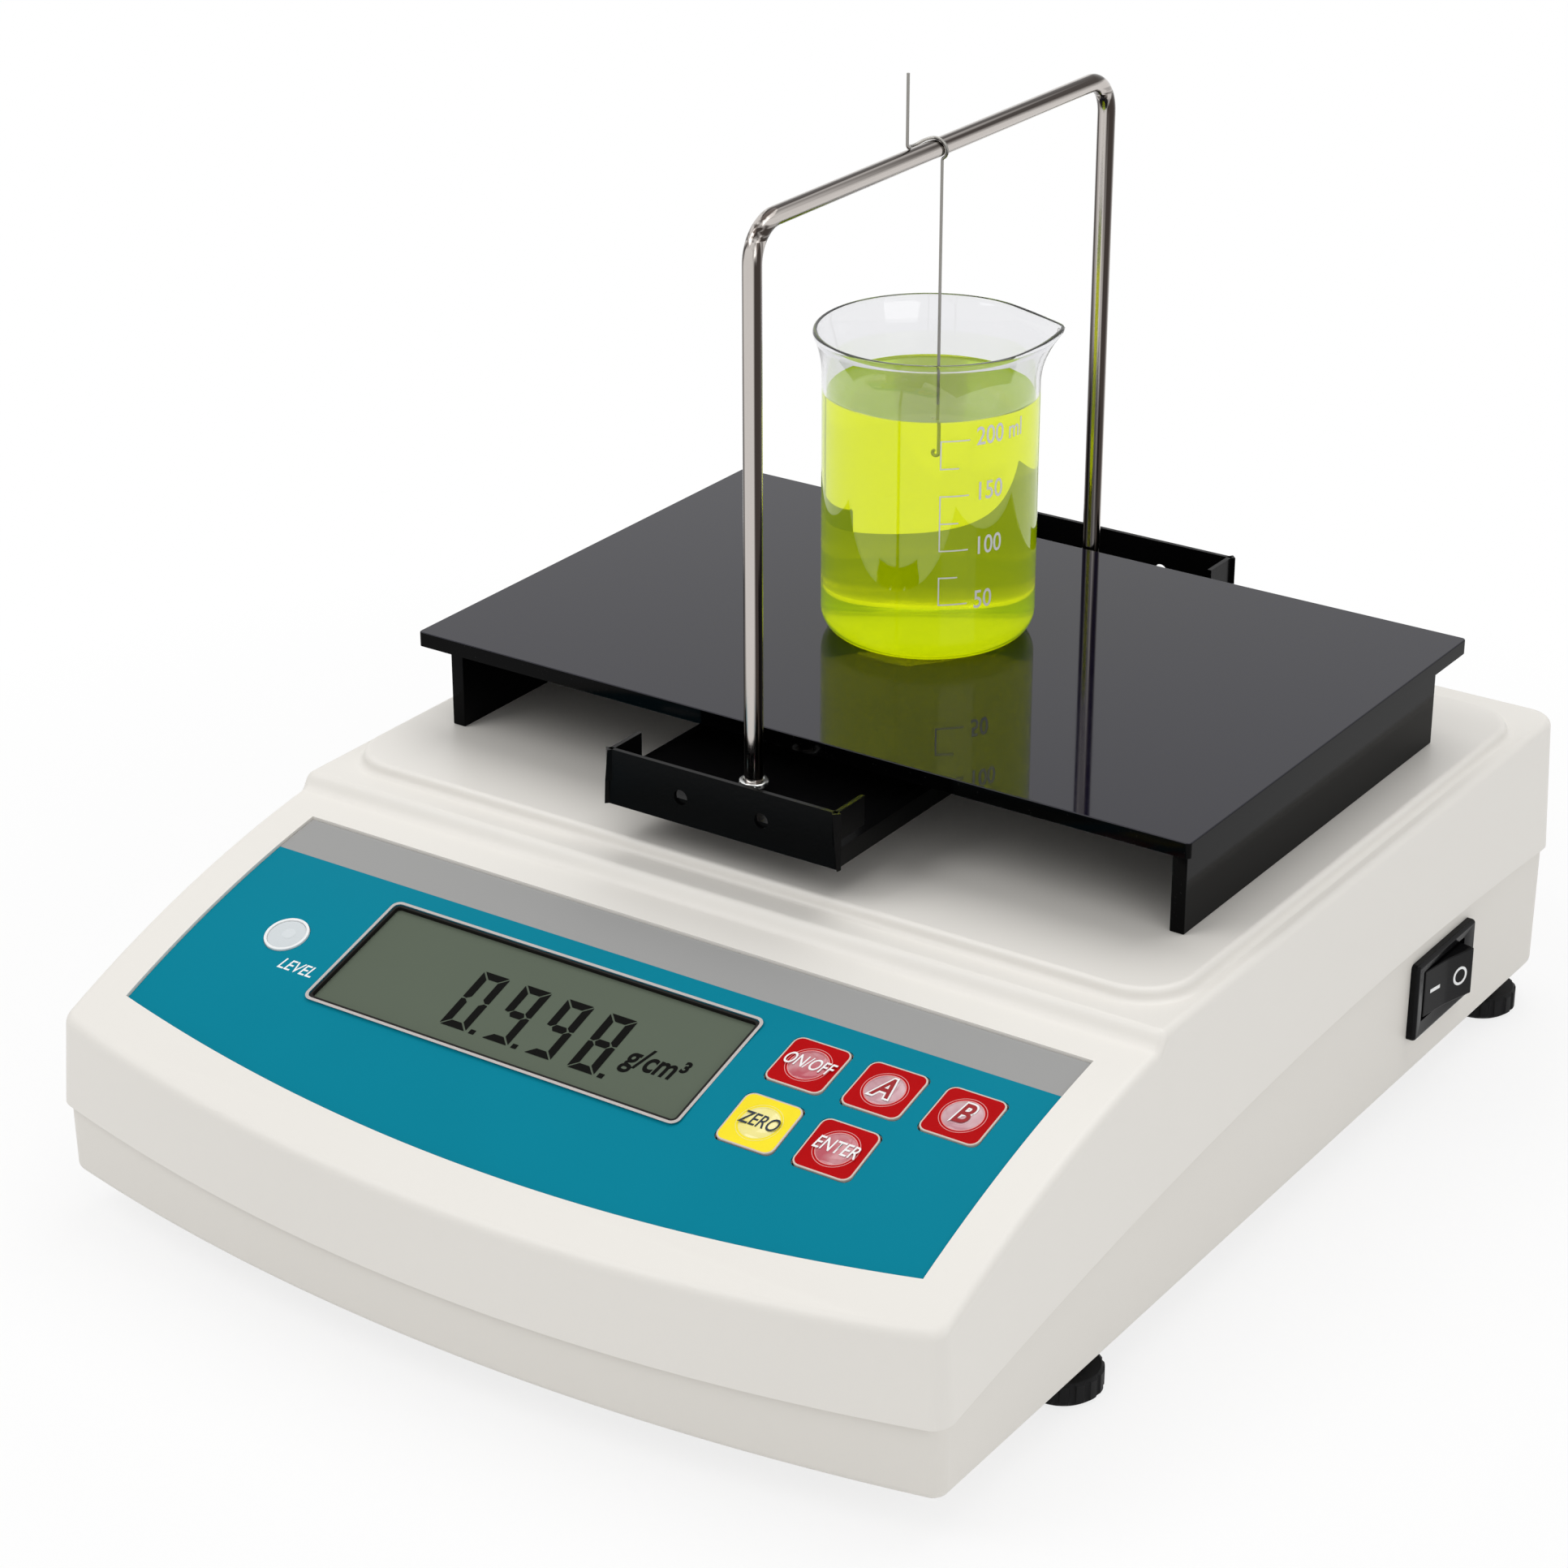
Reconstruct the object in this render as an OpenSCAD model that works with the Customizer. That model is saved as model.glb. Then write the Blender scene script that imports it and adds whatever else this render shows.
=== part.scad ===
// Benchtop density meter: a precision balance with a rod frame and hook wire for weighing
// a sample in liquid, and a table that holds the beaker clear of the weighing tray.
// Millimetres. The origin lies on the bench under the centre of the case's plan.
// X runs across the front, Y runs to the back, Z points up.

/* [Case] */
// Width of the case
case_w = 325; // [320:1:335]
// Depth of the case along its centre line
case_d = 415; // [410:1:430]
// How far the front edge bows forward of its corners
front_bow = 18.8; // [16:0.2:24]
// Radius of the case's back corners in plan
case_corner_r = 12; // [9:0.5:15]
// Radius of the case's front corners in plan
front_corner_r = 5; // [4:0.5:10]
// Height of the underside above the bench
case_z = 13.5; // [13.5:0.5:16]
// Height of the flat deck above the bench
deck_z = 106; // [104:0.5:110]
// Wall thickness of the cover and the lower case
wall = 2.8; // [2.6:0.1:3]
// Inward lean of the cover's sides over their height
cover_draft = 2; // [1:0.25:3]
// Radius of the cover's upper edges
edge_r = 3; // [1.5:0.5:4]
// Highest point of the parting line between the case halves
parting_z = 63; // [60:0.5:65]
// Radius of the parting line's arch, seen from the side
parting_r = 1540; // [1500:10:1800]
// Where the parting line is highest, from the centre of the case
parting_y = 87.5; // [80:0.5:100]
// Step from the cover in to the lower case at the parting line
parting_step = 3; // [2.8:0.1:3.4]
// Height of the lower case's rim inside the cover
rim_lap = 3; // [2:0.5:5]
// Further lean of the lower case's sides from the rim to the underside
lower_draft = 0.4; // [0.2:0.1:1.5]
// Radius of the lower case's bottom edge
bottom_edge_r = 3; // [2:0.5:5]

/* [Plateau] */
// Width of the raised plateau at its foot
plateau_w = 308; // [300:1:310]
// Depth of the raised plateau at its foot
plateau_d = 247; // [240:1:248]
// Height of the plateau above the deck
plateau_h = 4; // [3:0.5:6]
// Corner radius of the plateau
plateau_r = 15; // [10:1:20]
// Margin from the plateau to the back of the case
plateau_back = 18.5; // [18:0.5:22]

/* [Panel] */
// Where the sloping panel starts, from the centre of the case
ridge_y = -68.5; // [-70:0.5:-66]
// Step from the deck down to the panel
ridge_step = 4.8; // [4:0.1:6]
// Radius of the panel's curve
panel_r = 424.7; // [400:1:460]
// Slope of the panel at the step, in degrees
panel_lead = 7.96; // [7:0.1:9]
// Half the width of the overlay
overlay_half_w = 145; // [142:0.5:148]
// Distance from the ridge to the overlay's straight edge, along the panel
overlay_start = 13; // [12:0.5:15]
// Distance from the ridge to the overlay's front corners, along the panel
overlay_corner = 106.5; // [104:0.5:110]
// How far the overlay's front edge bows forward
overlay_bow = 14.3; // [10:0.5:17]
// Thickness of the overlay
overlay_t = 0.6; // [0.4:0.1:0.8]
// Depth of the overlay below the cover's surface
overlay_depth = 0.8; // [0.5:0.05:1]

/* [Display] */
// Width of the LCD window
lcd_w = 138; // [120:1:142]
// Height of the LCD window along the panel
lcd_h = 46.5; // [40:0.5:48]
// Centre of the LCD window across the panel
lcd_x = -20.7; // [-24:0.1:-18]
// Centre of the LCD window along the panel, from the ridge
lcd_t = 61.8; // [59:0.1:64]
// Thickness of the window's lens
lens_t = 0.5; // [0.4:0.1:0.6]
// Depth of the display board below the panel
board_depth = 13; // [12:0.5:15]
// Radius of the level window
level_r = 7.25; // [6:0.25:9]
// Centre of the level window across the panel
level_x = -113.6; // [-118:0.1:-108]
// Centre of the level window along the panel, from the ridge
level_t = 64.8; // [60:0.1:70]

/* [Keys] */
// Side of a square key
key_w = 19.8; // [18:0.1:20.5]
// Distance between key columns
key_pitch = 26.2; // [26:0.1:27]
// Centre of the first key column
key_x = 71.3; // [71:0.1:73]
// Centre of the back row of keys along the panel, from the ridge
key_t = 49.1; // [48:0.1:50]
// Distance between the two rows
row_pitch = 26.1; // [25.5:0.1:27]
// Travel of a key
key_travel = 0.4; // [0.2:0.05:0.5]
// Gap round a key
key_gap = 0.3; // [0.25:0.05:0.4]

/* [Feet] */
// Distance of the feet from the centre line
foot_x = 148; // [146:0.5:148]
// Centre of the front feet, from the centre of the case
foot_front_y = -100.5; // [-110:0.5:-95]
// Centre of the rear feet, from the centre of the case
foot_rear_y = 185; // [182:0.5:187]
// Diameter of a foot's wheel
foot_d = 25; // [22:0.5:27]
// Height of a foot's wheel
foot_h = 8; // [6:0.5:8]
// Diameter of a foot's threaded stud
stud_d = 6; // [5:0.5:6.5]
// Grips round a foot's wheel
foot_grips = 16; // [12:1:20]

/* [Power switch] */
// Length of the switch's bezel
switch_l = 43; // [40:0.5:46]
// Height of the switch's bezel
switch_h = 29; // [26:0.5:30]
// Centre of the switch, from the centre of the case
switch_y = 119; // [110:0.5:126]
// Centre of the switch above the bench
switch_z = 42.5; // [40:0.5:44]
// Turn of the rocker between its two settings, in degrees
rocker_turn = 17; // [10:0.5:18]

/* [Weighing tray] */
// Width of the tray
tray_w = 84.6; // [78:0.5:88]
// Length of the tray
tray_l = 249.5; // [244:0.5:256]
// Centre of the tray, from the centre of the case
tray_y = 63.75; // [62:0.25:66]
// Height of the tray's floor above the bench
tray_z = 130.5; // [129:0.5:132]
// Thickness of the tray's sheet
sheet_t = 1.5; // [1:0.1:1.6]
// Top of the tray's end walls above its floor
end_wall_up = 10.5; // [10.5:0.5:14]
// Depth of the tray's end walls below its floor
end_wall_down = 7.5; // [6:0.5:9]
// Depth of the tray's folded sides below its floor
tray_flange = 9; // [6:0.5:10]
// Length of the end walls' returns along the sides
tray_return = 15.5; // [12:0.5:20]
// Diameter of the holes in the end walls
tray_hole_d = 5; // [4:0.2:5.2]
// Distance between the two holes of an end wall
tray_hole_pitch = 30; // [24:1:50]

/* [Rod frame] */
// Diameter of the rod
rod_d = 6; // [5:0.5:6.5]
// Centre of the front upright, from the centre of the case
rod_front_y = -43; // [-44.5:0.5:-41.5]
// Centre of the rear upright, from the centre of the case
rod_rear_y = 163.5; // [163.5:0.5:165.5]
// Height of the bar's centre line above the bench
bar_z = 310.7; // [300:1:330]
// Radius of the rod's bends at its centre line
rod_bend = 12; // [9:0.5:20]
// Diameter of the rings at the rod's feet
ring_d = 9.5; // [9:0.5:12]

/* [Hook wire] */
// Diameter of the wire
wire_d = 1; // [0.8:0.1:1.2]
// Where the wire hangs from the bar, from the centre of the case
wire_y = 58.9; // [58:0.1:70]
// Height of the hook's lowest point above the bench
hook_z = 211.3; // [200:0.1:215]
// Distance along the bar from the hanging wire to the upright tail
tail_run = 18.4; // [10:0.2:24]
// Length of the tail above the bar's centre line
tail_h = 27; // [15:1:40]

/* [Table] */
// Width of the table's plate
table_w = 286; // [280:1:292]
// Depth of the table's plate
table_d = 186; // [180:1:188]
// Centre of the table, from the centre of the case
table_y = 65.5; // [64.5:0.5:65.5]
// Thickness of the acrylic sheet
acrylic_t = 5; // [4:0.5:6]
// Height of the table's underside above the plateau
table_clear = 30.3; // [29:0.5:36]
// Distance from the plate's side edges in to the legs
leg_inset = 4.6; // [2:0.2:8]
// Distance from the plate's front and back edges in to the legs
leg_end_inset = 8.6; // [4:0.2:14]

/* [Beaker] */
// Outer diameter of the beaker
beaker_d = 70.4; // [64:0.2:76]
// Height of the beaker
beaker_h = 102.5; // [95:0.5:110]
// Thickness of the glass
glass_t = 1.4; // [1.2:0.1:1.8]
// Radius of the beaker's rim
rim_r = 38; // [37:0.25:40]
// Centre of the beaker across the table
beaker_x = -8; // [-10:0.5:-4]
// Centre of the beaker, from the centre of the case
beaker_y = 69.5; // [66:0.5:72]
// Height of the liquid above the table
fill_h = 82.2; // [75:0.1:86]

/* [Hidden] */
$fn = 48;
clear = 0.3;       // gap between pieces that only pass each other
run_fit = 0.05;    // radial gap of a running fit
eps = 0.01;

// Plan of the case
bow_r = (case_w * case_w / 4 + front_bow * front_bow) / (2 * front_bow);
bow_cy = bow_r - case_d / 2;
corner_steps = 5;
bow_steps = 9;

// Panel curve: an arc about the X axis that leaves the ridge at panel_lead
step_run = 2.5;
lip_y = -189;      // ahead of this line the panel runs out straight to the front edge
lip_slope = 0.28;
panel_y0 = ridge_y - step_run;
arc_cy = panel_y0 + panel_r * sin(panel_lead);
arc_cz = deck_z - ridge_step - panel_r * cos(panel_lead);
side_ys = [127, 67, 7, -43, ridge_y, panel_y0, -82, -94, -106, -118, -130, -142, -154, -166, -176];

function panel_a(t) = panel_lead + t / panel_r * 180 / PI;
function panel_y(t) = arc_cy - panel_r * sin(panel_a(t));
function panel_z(t) = arc_cz + panel_r * cos(panel_a(t));
function arc_z(y) = arc_cz + sqrt(panel_r * panel_r - pow(y - arc_cy, 2));
function top_z(y) =
    y >= ridge_y ? deck_z
    : y <= lip_y ? arc_z(lip_y) + lip_slope * (y - lip_y)
    : y <= panel_y0 ? arc_z(y)
    : arc_z(panel_y0) + (deck_z - arc_z(panel_y0)) * (y - panel_y0) / step_run;
function part_z(y) = parting_z - pow(y - parting_y, 2) / (2 * parting_r);

// Right half of the case's plan, inset by i, from the back's centre round to the front's
function case_half(i) =
    let (r = max(case_corner_r - i, 1.5),
         hx = case_w / 2 - i,
         ry = case_d / 2 - i,
         br = bow_r - i,
         fr = max(front_corner_r - i, 1.5),
         fx = hx - fr,
         fy = bow_cy - sqrt(pow(br - fr, 2) - fx * fx),
         fa = atan2(fy - bow_cy, fx))
    concat([for (k = [0:corner_steps]) let (a = 90 - 90 * k / corner_steps)
               [hx - r + r * cos(a), ry - r + r * sin(a)]],
           [for (y = side_ys) [hx, y]],
           [for (k = [0:corner_steps]) let (a = fa * k / corner_steps) [fx + fr * cos(a), fy + fr * sin(a)]],
           [for (k = [1:bow_steps])
               let (a = fa - (90 + fa) * k / (bow_steps + 0.5)) [br * cos(a), bow_cy + br * sin(a)]]);

// Right half of a rounded rectangle about (0, cy)
function rect_half(w, d, r, cy) =
    concat([for (k = [0:corner_steps]) let (a = 90 - 90 * k / corner_steps)
               [w / 2 - r + r * cos(a), cy + d / 2 - r + r * sin(a)]],
           [for (k = [0:corner_steps]) let (a = -90 * k / corner_steps)
               [w / 2 - r + r * cos(a), cy - d / 2 + r + r * sin(a)]]);

// A closed ring in space: the half outline, its mirror image, and a height for each y
function ring(half, z_of) =
    let (n = len(half))
    concat([for (p = half) [p.x, p.y, z_of(p.y)]],
           [for (k = [n - 1:-1:0]) [-half[k].x, half[k].y, z_of(half[k].y)]]);

// Solid through rings that share one layout, capped by strips from side to side
module loft(rings) {
    n = len(rings[0]);
    h = n / 2;
    last = (len(rings) - 1) * n;
    sides = [for (j = [0:len(rings) - 2]) for (k = [0:n - 1])
        let (a = j * n + k, b = j * n + (k + 1) % n)
        for (f = [[a, b, b + n], [a, b + n, a + n]]) f];
    cap = [for (k = [0:h - 2]) for (f = [[k, k + 1, n - k - 2], [k, n - k - 2, n - k - 1]]) f];
    polyhedron(points = [for (r = rings) each r],
               faces = concat(sides,
                              [for (f = cap) [f[2], f[1], f[0]]],
                              [for (f = cap) [f[0] + last, f[1] + last, f[2] + last]]),
               convexity = 6);
}

// Placing things square to the panel at x and t
module on_panel(x, t) {
    translate([x, panel_y(t), panel_z(t)]) rotate([panel_a(t), 0, 0]) children();
}

// Rounded plate about the Z axis, from exact boxes and cylinders
module rounded_plate(w, d, h, r) {
    translate([-w / 2 + r, -d / 2, 0]) cube([w - 2 * r, d, h]);
    translate([-w / 2, -d / 2 + r, 0]) cube([w, d - 2 * r, h]);
    for (sx = [-1, 1], sy = [-1, 1])
        translate([sx * (w / 2 - r), sy * (d / 2 - r), 0]) cylinder(r = r, h = h);
}

// Band that follows the panel's curve across the case, between two depths below it
band_steps = 12;
band_end = 126;
module panel_band(depth_top, depth_bottom) {
    ts = [for (k = [0:band_steps]) overlay_start - 1 + (band_end - overlay_start + 1) * k / band_steps];
    outer = [for (t = ts) [panel_y(t) + depth_top * sin(panel_a(t)), panel_z(t) - depth_top * cos(panel_a(t))]];
    inner = [for (k = [band_steps:-1:0]) let (t = ts[k])
        [panel_y(t) + depth_bottom * sin(panel_a(t)), panel_z(t) - depth_bottom * cos(panel_a(t))]];
    translate([-overlay_half_w - 1, 0, 0]) rotate([90, 0, 90])
        linear_extrude(2 * overlay_half_w + 2) polygon(concat(outer, inner));
}

// Plan of the overlay, inset by i, as a tall prism
module overlay_prism(i) {
    hw = overlay_half_w - i;
    yb = panel_y(overlay_start) - i;
    yc = panel_y(overlay_corner) + i;
    br = (overlay_half_w * overlay_half_w + overlay_bow * overlay_bow) / (2 * overlay_bow);
    front = [for (k = [-8:8]) let (x = hw * k / 8) [x, yc + (br - overlay_bow) - sqrt(br * br - x * x)]];
    linear_extrude(deck_z + 10) polygon(concat([[hw, yb], [-hw, yb]], front));
}

// Layout of the overlay's pocket and what sits in it
pocket = overlay_t + overlay_depth;
key_list = [[0, 0], [1, 0], [2, 0], [0, 1], [1, 1]];    // column and row of each key
function key_cx(k) = key_x + key_pitch * key_list[k][0];
function key_ct(k) = key_t + row_pitch * key_list[k][1];
key_flange = 22.4;
key_flange_t = 0.9;
key_flange_depth = wall + 0.4;
key_plunger = 7.5;
key_proud = 0.3;
switch_top = board_depth - 3.5 - 1.2;
board_t = 1.6;
board_left = lcd_x - lcd_w / 2 - 13.3;
board_right = key_cx(2) + 8;
board_w = board_right - board_left;
board_x = (board_left + board_right) / 2;
board_h = 56;
board_center_t = (key_ct(0) + key_ct(3)) / 2;
board_post_t = board_h / 2 - 5;
board_post_mid = (lcd_x + lcd_w / 2 + key_x - key_flange / 2) / 2;
// Posts at the left edge, between display and keys, and in the gap of the lower row of keys
board_post_at = concat(
    [for (x = [board_left + 6, board_post_mid], t = [-1, 1]) [x - board_x, t * board_post_t]],
    [[key_cx(2) - board_x, board_center_t - key_ct(3)]]);
lens_gap = 0.2;
lens_ledge = 3;
lcd_case_t = board_depth - 3.8;

// Case screws and their bosses
screw_x = 135;
screw_front_y = -166;
screw_rear_y = 157;
boss_r = 5.5;
boss_meet_z = 40;
screw_r = 2;
screw_head_r = 3.8;
screw_head_h = 3;
screw_seat_z = case_z + 8;
screw_tip_z = boss_meet_z + 16;
screw_at = [for (sx = [-1, 1], y = [screw_front_y, screw_rear_y]) [sx * screw_x, y]];

// Feet
foot_names = ["front_left", "front_right", "rear_left", "rear_right"];
foot_at = [[-foot_x, foot_front_y], [foot_x, foot_front_y], [-foot_x, foot_rear_y], [foot_x, foot_rear_y]];
pad_r = 7.5;
pad_z = case_z - 3;
insert_r = 4.3;
insert_h = 14;
stud_top = case_z + 12;
stud_seat = 2;

// Tray, carrier and load cell
cell_l = 130;
cell_w = 24;
cell_h = 22;
cell_z = 58;
cell_y0 = table_y - 65;
cell_end = 25;
bridge_gap = 4;
bridge_t = 4;
bridge_w = 40;
post_r = 7;
post_hole_r = 11;
carrier_t = 3;
buffer_h = 5;
buffer_r = 5;
carrier_w = 60;
carrier_l = 76;
tray_bottom = tray_z - sheet_t;
carrier_z = tray_bottom - buffer_h - carrier_t;
floor_z = case_z + wall;
stop_gap = 0.7;
spigot_r = 2.5;
ring_h = 1.6;
nut_r = 4.6;
nut_h = 4;

// Table and beaker
plateau_z = deck_z + plateau_h;
plateau_y = case_d / 2 - plateau_back - plateau_d / 2;
table_z = plateau_z + table_clear;
glass_z = table_z + acrylic_t;
beaker_ri = beaker_d / 2 - glass_t;
foot_curve = 8;

// Lower case wall, as a plane that leans outward from the bottom edge to the rim
low_i = parting_step + lower_draft;
lean_z0 = case_z + bottom_edge_r;
function lean_a(y) = atan(lower_draft / (part_z(y) + rim_lap - lean_z0));
function lean_i(y, z) = low_i - (z - lean_z0) * tan(lean_a(y));

// Power switch
switch_lean = lean_a(switch_y);
switch_x = case_w / 2 - lean_i(switch_y, switch_z);
bezel_t = 2.4;
rocker_pivot = 5;
rocker_r = 18;
rocker_w = 20;
rocker_face = 5.2;
rocker_back = 3;
pin_r = 1.5;
pin_l = 0.6;
rocker_wing = rocker_turn / 2;
switch_depth = 22;

// Back panel sockets
socket_z = 38;
jack_x = -60;
serial_x = 40;
socket_y = case_d / 2 - lean_i(case_d / 2, socket_z);
socket_lean = lean_a(case_d / 2);

// ---- Case ----

module cover_outer() {
    e = edge_r;
    loft([ring(case_half(0), function (y) part_z(y)),
          ring(case_half(cover_draft), function (y) top_z(y) - e),
          ring(case_half(cover_draft + e * (1 - cos(30))), function (y) top_z(y) - e * (1 - sin(30))),
          ring(case_half(cover_draft + e * (1 - cos(60))), function (y) top_z(y) - e * (1 - sin(60))),
          ring(case_half(cover_draft + e), function (y) top_z(y))]);
}

module cover_inner() {
    loft([ring(case_half(wall), function (y) part_z(y) - 2),
          ring(case_half(wall), function (y) part_z(y) + rim_lap + 0.5),
          ring(case_half(wall + cover_draft), function (y) top_z(y) - wall - 1.5),
          ring(case_half(wall + cover_draft + 1.5), function (y) top_z(y) - wall)]);
}

module plateau_solid(i, z0, z1) {
    function rect(k) = rect_half(plateau_w - 2 * (i + k), plateau_d - 2 * (i + k), plateau_r - i - k, plateau_y);
    loft([ring(rect(0), function (y) z0),
          ring(rect(0.5), function (y) z1 - 1.4),
          ring(rect(0.9), function (y) z1 - 0.4),
          ring(rect(1.9), function (y) z1)]);
}

module panel_openings() {
    intersection() {
        panel_band(-2, pocket);
        overlay_prism(0);
    }
    on_panel(lcd_x, lcd_t) translate([0, 0, -wall - 4])
        rounded_plate(lcd_w - 2 * lens_ledge, lcd_h - 2 * lens_ledge, wall + 5, 2);
    for (k = [0:len(key_list) - 1])
        on_panel(key_cx(k), key_ct(k)) translate([0, 0, -wall - 2])
            rounded_plate(key_w + 2 * key_gap, key_w + 2 * key_gap, wall + 4, 2.5);
    on_panel(level_x, level_t) translate([0, 0, -wall - 2]) cylinder(r = level_r - 1, h = wall + 4);
}

module board_posts() {
    on_panel(board_x, board_center_t)
        for (p = board_post_at)
            translate([p.x, p.y, -board_depth]) difference() {
                cylinder(r = 3, h = board_depth - wall + 0.4);
                translate([0, 0, -eps]) cylinder(r = 1.1, h = 6);
            }
}

module cover_bosses() {
    for (p = screw_at)
        translate([p.x, p.y, boss_meet_z]) difference() {
            cylinder(r = boss_r, h = (p.y > ridge_y ? plateau_z - wall / 2 : top_z(p.y - boss_r) - 2) - boss_meet_z);
            translate([0, 0, -eps]) cylinder(r = screw_r + run_fit, h = 20);
        }
}

module top_cover() {
    color([0.87, 0.85, 0.81]) {
        difference() {
            union() {
                difference() {
                    cover_outer();
                    cover_inner();
                }
                difference() {
                    plateau_solid(0, deck_z - wall, plateau_z);
                    plateau_solid(wall, deck_z - wall - 1, plateau_z - wall);
                }
            }
            plateau_solid(wall, deck_z - wall - 1, plateau_z - wall);
            panel_openings();
            translate([0, table_y, deck_z - 10]) cylinder(r = post_hole_r, h = 20);
        }
        board_posts();
        cover_bosses();
    }
}

module lower_outer() {
    e = bottom_edge_r;
    loft([ring(case_half(low_i + e), function (y) case_z),
          ring(case_half(low_i + e * (1 - sin(45))), function (y) case_z + e * (1 - cos(45))),
          ring(case_half(low_i), function (y) lean_z0),
          ring(case_half(parting_step), function (y) part_z(y) + rim_lap)]);
}

module lower_inner() {
    loft([ring(case_half(low_i + wall + 1.5), function (y) floor_z),
          ring(case_half(low_i + wall), function (y) lean_z0 + wall),
          ring(case_half(parting_step + wall), function (y) part_z(y) + rim_lap + 1)]);
}

// Main board, on four posts
main_board_w = 112;
main_board_d = 76;
main_board_at = [77.5 - case_w / 2, 112.5 - case_d / 2];
main_board_z = 30;
board_at = [for (sx = [-1, 1], sy = [-1, 1])
    main_board_at + [sx * (main_board_w / 2 - 6), sy * (main_board_d / 2 - 6)]];

module lower_case() {
    color([0.83, 0.81, 0.77]) difference() {
        union() {
            difference() {
                lower_outer();
                lower_inner();
            }
            for (p = screw_at) translate([p.x, p.y, case_z]) cylinder(r = boss_r, h = boss_meet_z - case_z);
            for (p = foot_at) {
                translate([p.x, p.y, pad_z]) cylinder(r = pad_r, h = 8);
                translate([p.x, p.y, case_z]) cylinder(r = insert_r + 2, h = insert_h + 2);
            }
            for (p = board_at) translate([p.x, p.y, case_z + 1]) cylinder(r = 3.5, h = main_board_z - case_z - 1);
        }
        for (p = screw_at) translate([p.x, p.y, case_z - 1]) {
            cylinder(r = screw_r + run_fit, h = boss_meet_z);
            cylinder(r = screw_head_r + clear, h = screw_seat_z - case_z + 1);
        }
        for (p = foot_at) {
            translate([p.x, p.y, pad_z - 1]) cylinder(r = stud_d / 2 + 0.5, h = 5);
            translate([p.x, p.y, case_z]) cylinder(r = insert_r + run_fit, h = insert_h + 3);
        }
        on_switch() translate([-8, -switch_l / 2 + 3, -switch_h / 2 + 3]) cube([12, switch_l - 6, switch_h - 6]);
        on_back(jack_x) rotate([90, 0, 0]) translate([0, 0, -8]) cylinder(r = 5.6, h = 16);
        on_back(serial_x) translate([-10, -8, -5]) cube([20, 16, 10]);
    }
}

// Placing things square to the lower case's right side and to its back
module on_switch() {
    translate([switch_x, switch_y, switch_z]) rotate([0, switch_lean, 0]) children();
}
module on_back(x) {
    translate([x, socket_y, socket_z]) rotate([-socket_lean, 0, 0]) children();
}

module foot_inserts() {
    color([0.75, 0.6, 0.3])
        for (p = foot_at) translate([p.x, p.y, case_z + run_fit]) difference() {
            cylinder(r = insert_r, h = insert_h);
            translate([0, 0, -1]) cylinder(r = stud_d / 2 + run_fit, h = insert_h + 2);
        }
}

module case_screws() {
    color([0.6, 0.6, 0.62])
        for (p = screw_at) translate([p.x, p.y, 0]) {
            translate([0, 0, screw_seat_z - eps]) cylinder(r = screw_r, h = screw_tip_z - screw_seat_z);
            translate([0, 0, screw_seat_z - screw_head_h]) cylinder(r = screw_head_r, h = screw_head_h);
        }
}

// ---- Panel ----

module panel_overlay() {
    color([0.07, 0.5, 0.59]) difference() {
        intersection() {
            panel_band(overlay_depth, pocket);
            overlay_prism(lens_gap);
        }
        on_panel(lcd_x, lcd_t) translate([0, 0, -5]) rounded_plate(lcd_w, lcd_h, 10, 3.5);
        for (k = [0:len(key_list) - 1])
            on_panel(key_cx(k), key_ct(k)) translate([0, 0, -5])
                rounded_plate(key_w + 2 * key_gap, key_w + 2 * key_gap, 10, 2.5);
        on_panel(level_x, level_t) translate([0, 0, -5]) cylinder(r = level_r + lens_gap, h = 10);
    }
}

module lcd_window() {
    color([0.5, 0.55, 0.5, 0.6]) intersection() {
        panel_band(pocket - lens_t, pocket);
        on_panel(lcd_x, lcd_t) translate([0, 0, -5])
            rounded_plate(lcd_w - 2 * lens_gap, lcd_h - 2 * lens_gap, 10, 3.3);
    }
}

// Glass panel in a metal frame, standing on the display board
module lcd_module() {
    color([0.42, 0.44, 0.38])
        on_panel(lcd_x, board_center_t) translate([0, lcd_t_shift, -board_depth]) {
            rounded_plate(lcd_w - 4, lcd_h - 3, lcd_case_t - 2, 1.5);
            translate([0, 0, lcd_case_t - 2]) rounded_plate(lcd_w - 8, lcd_h - 7, 2, 1);
        }
}
lcd_t_shift = board_center_t - lcd_t;

module level_vial() {
    color([0.9, 0.92, 0.93]) on_panel(level_x, level_t) {
        translate([0, 0, -pocket]) cylinder(r = level_r, h = overlay_t + 0.1);
        translate([0, 0, -9]) cylinder(r = level_r - 1 - run_fit, h = 9);
    }
}

// Square key with a low dome, a lip under the cover and a plunger
module key(k) {
    on_panel(key_cx(k), key_ct(k)) {
        translate([0, 0, -key_flange_depth - eps])
            rounded_plate(key_w, key_w, key_flange_depth - overlay_depth + key_proud, 2.2);
        translate([0, 0, -overlay_depth]) cylinder(r1 = 7, r2 = 6.2, h = key_proud + 0.4);
        translate([0, 0, -key_flange_depth - key_flange_t])
            rounded_plate(key_flange, key_flange, key_flange_t, 2);
        translate([0, 0, -key_plunger]) cylinder(r = 2, h = key_plunger - key_flange_depth);
    }
}
module key_on_off() { color([0.78, 0.06, 0.08]) key(0); }
module key_a() { color([0.78, 0.06, 0.08]) key(1); }
module key_b() { color([0.78, 0.06, 0.08]) key(2); }
module key_zero() { color([0.98, 0.88, 0.16]) key(3); }
module key_enter() { color([0.78, 0.06, 0.08]) key(4); }

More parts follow.
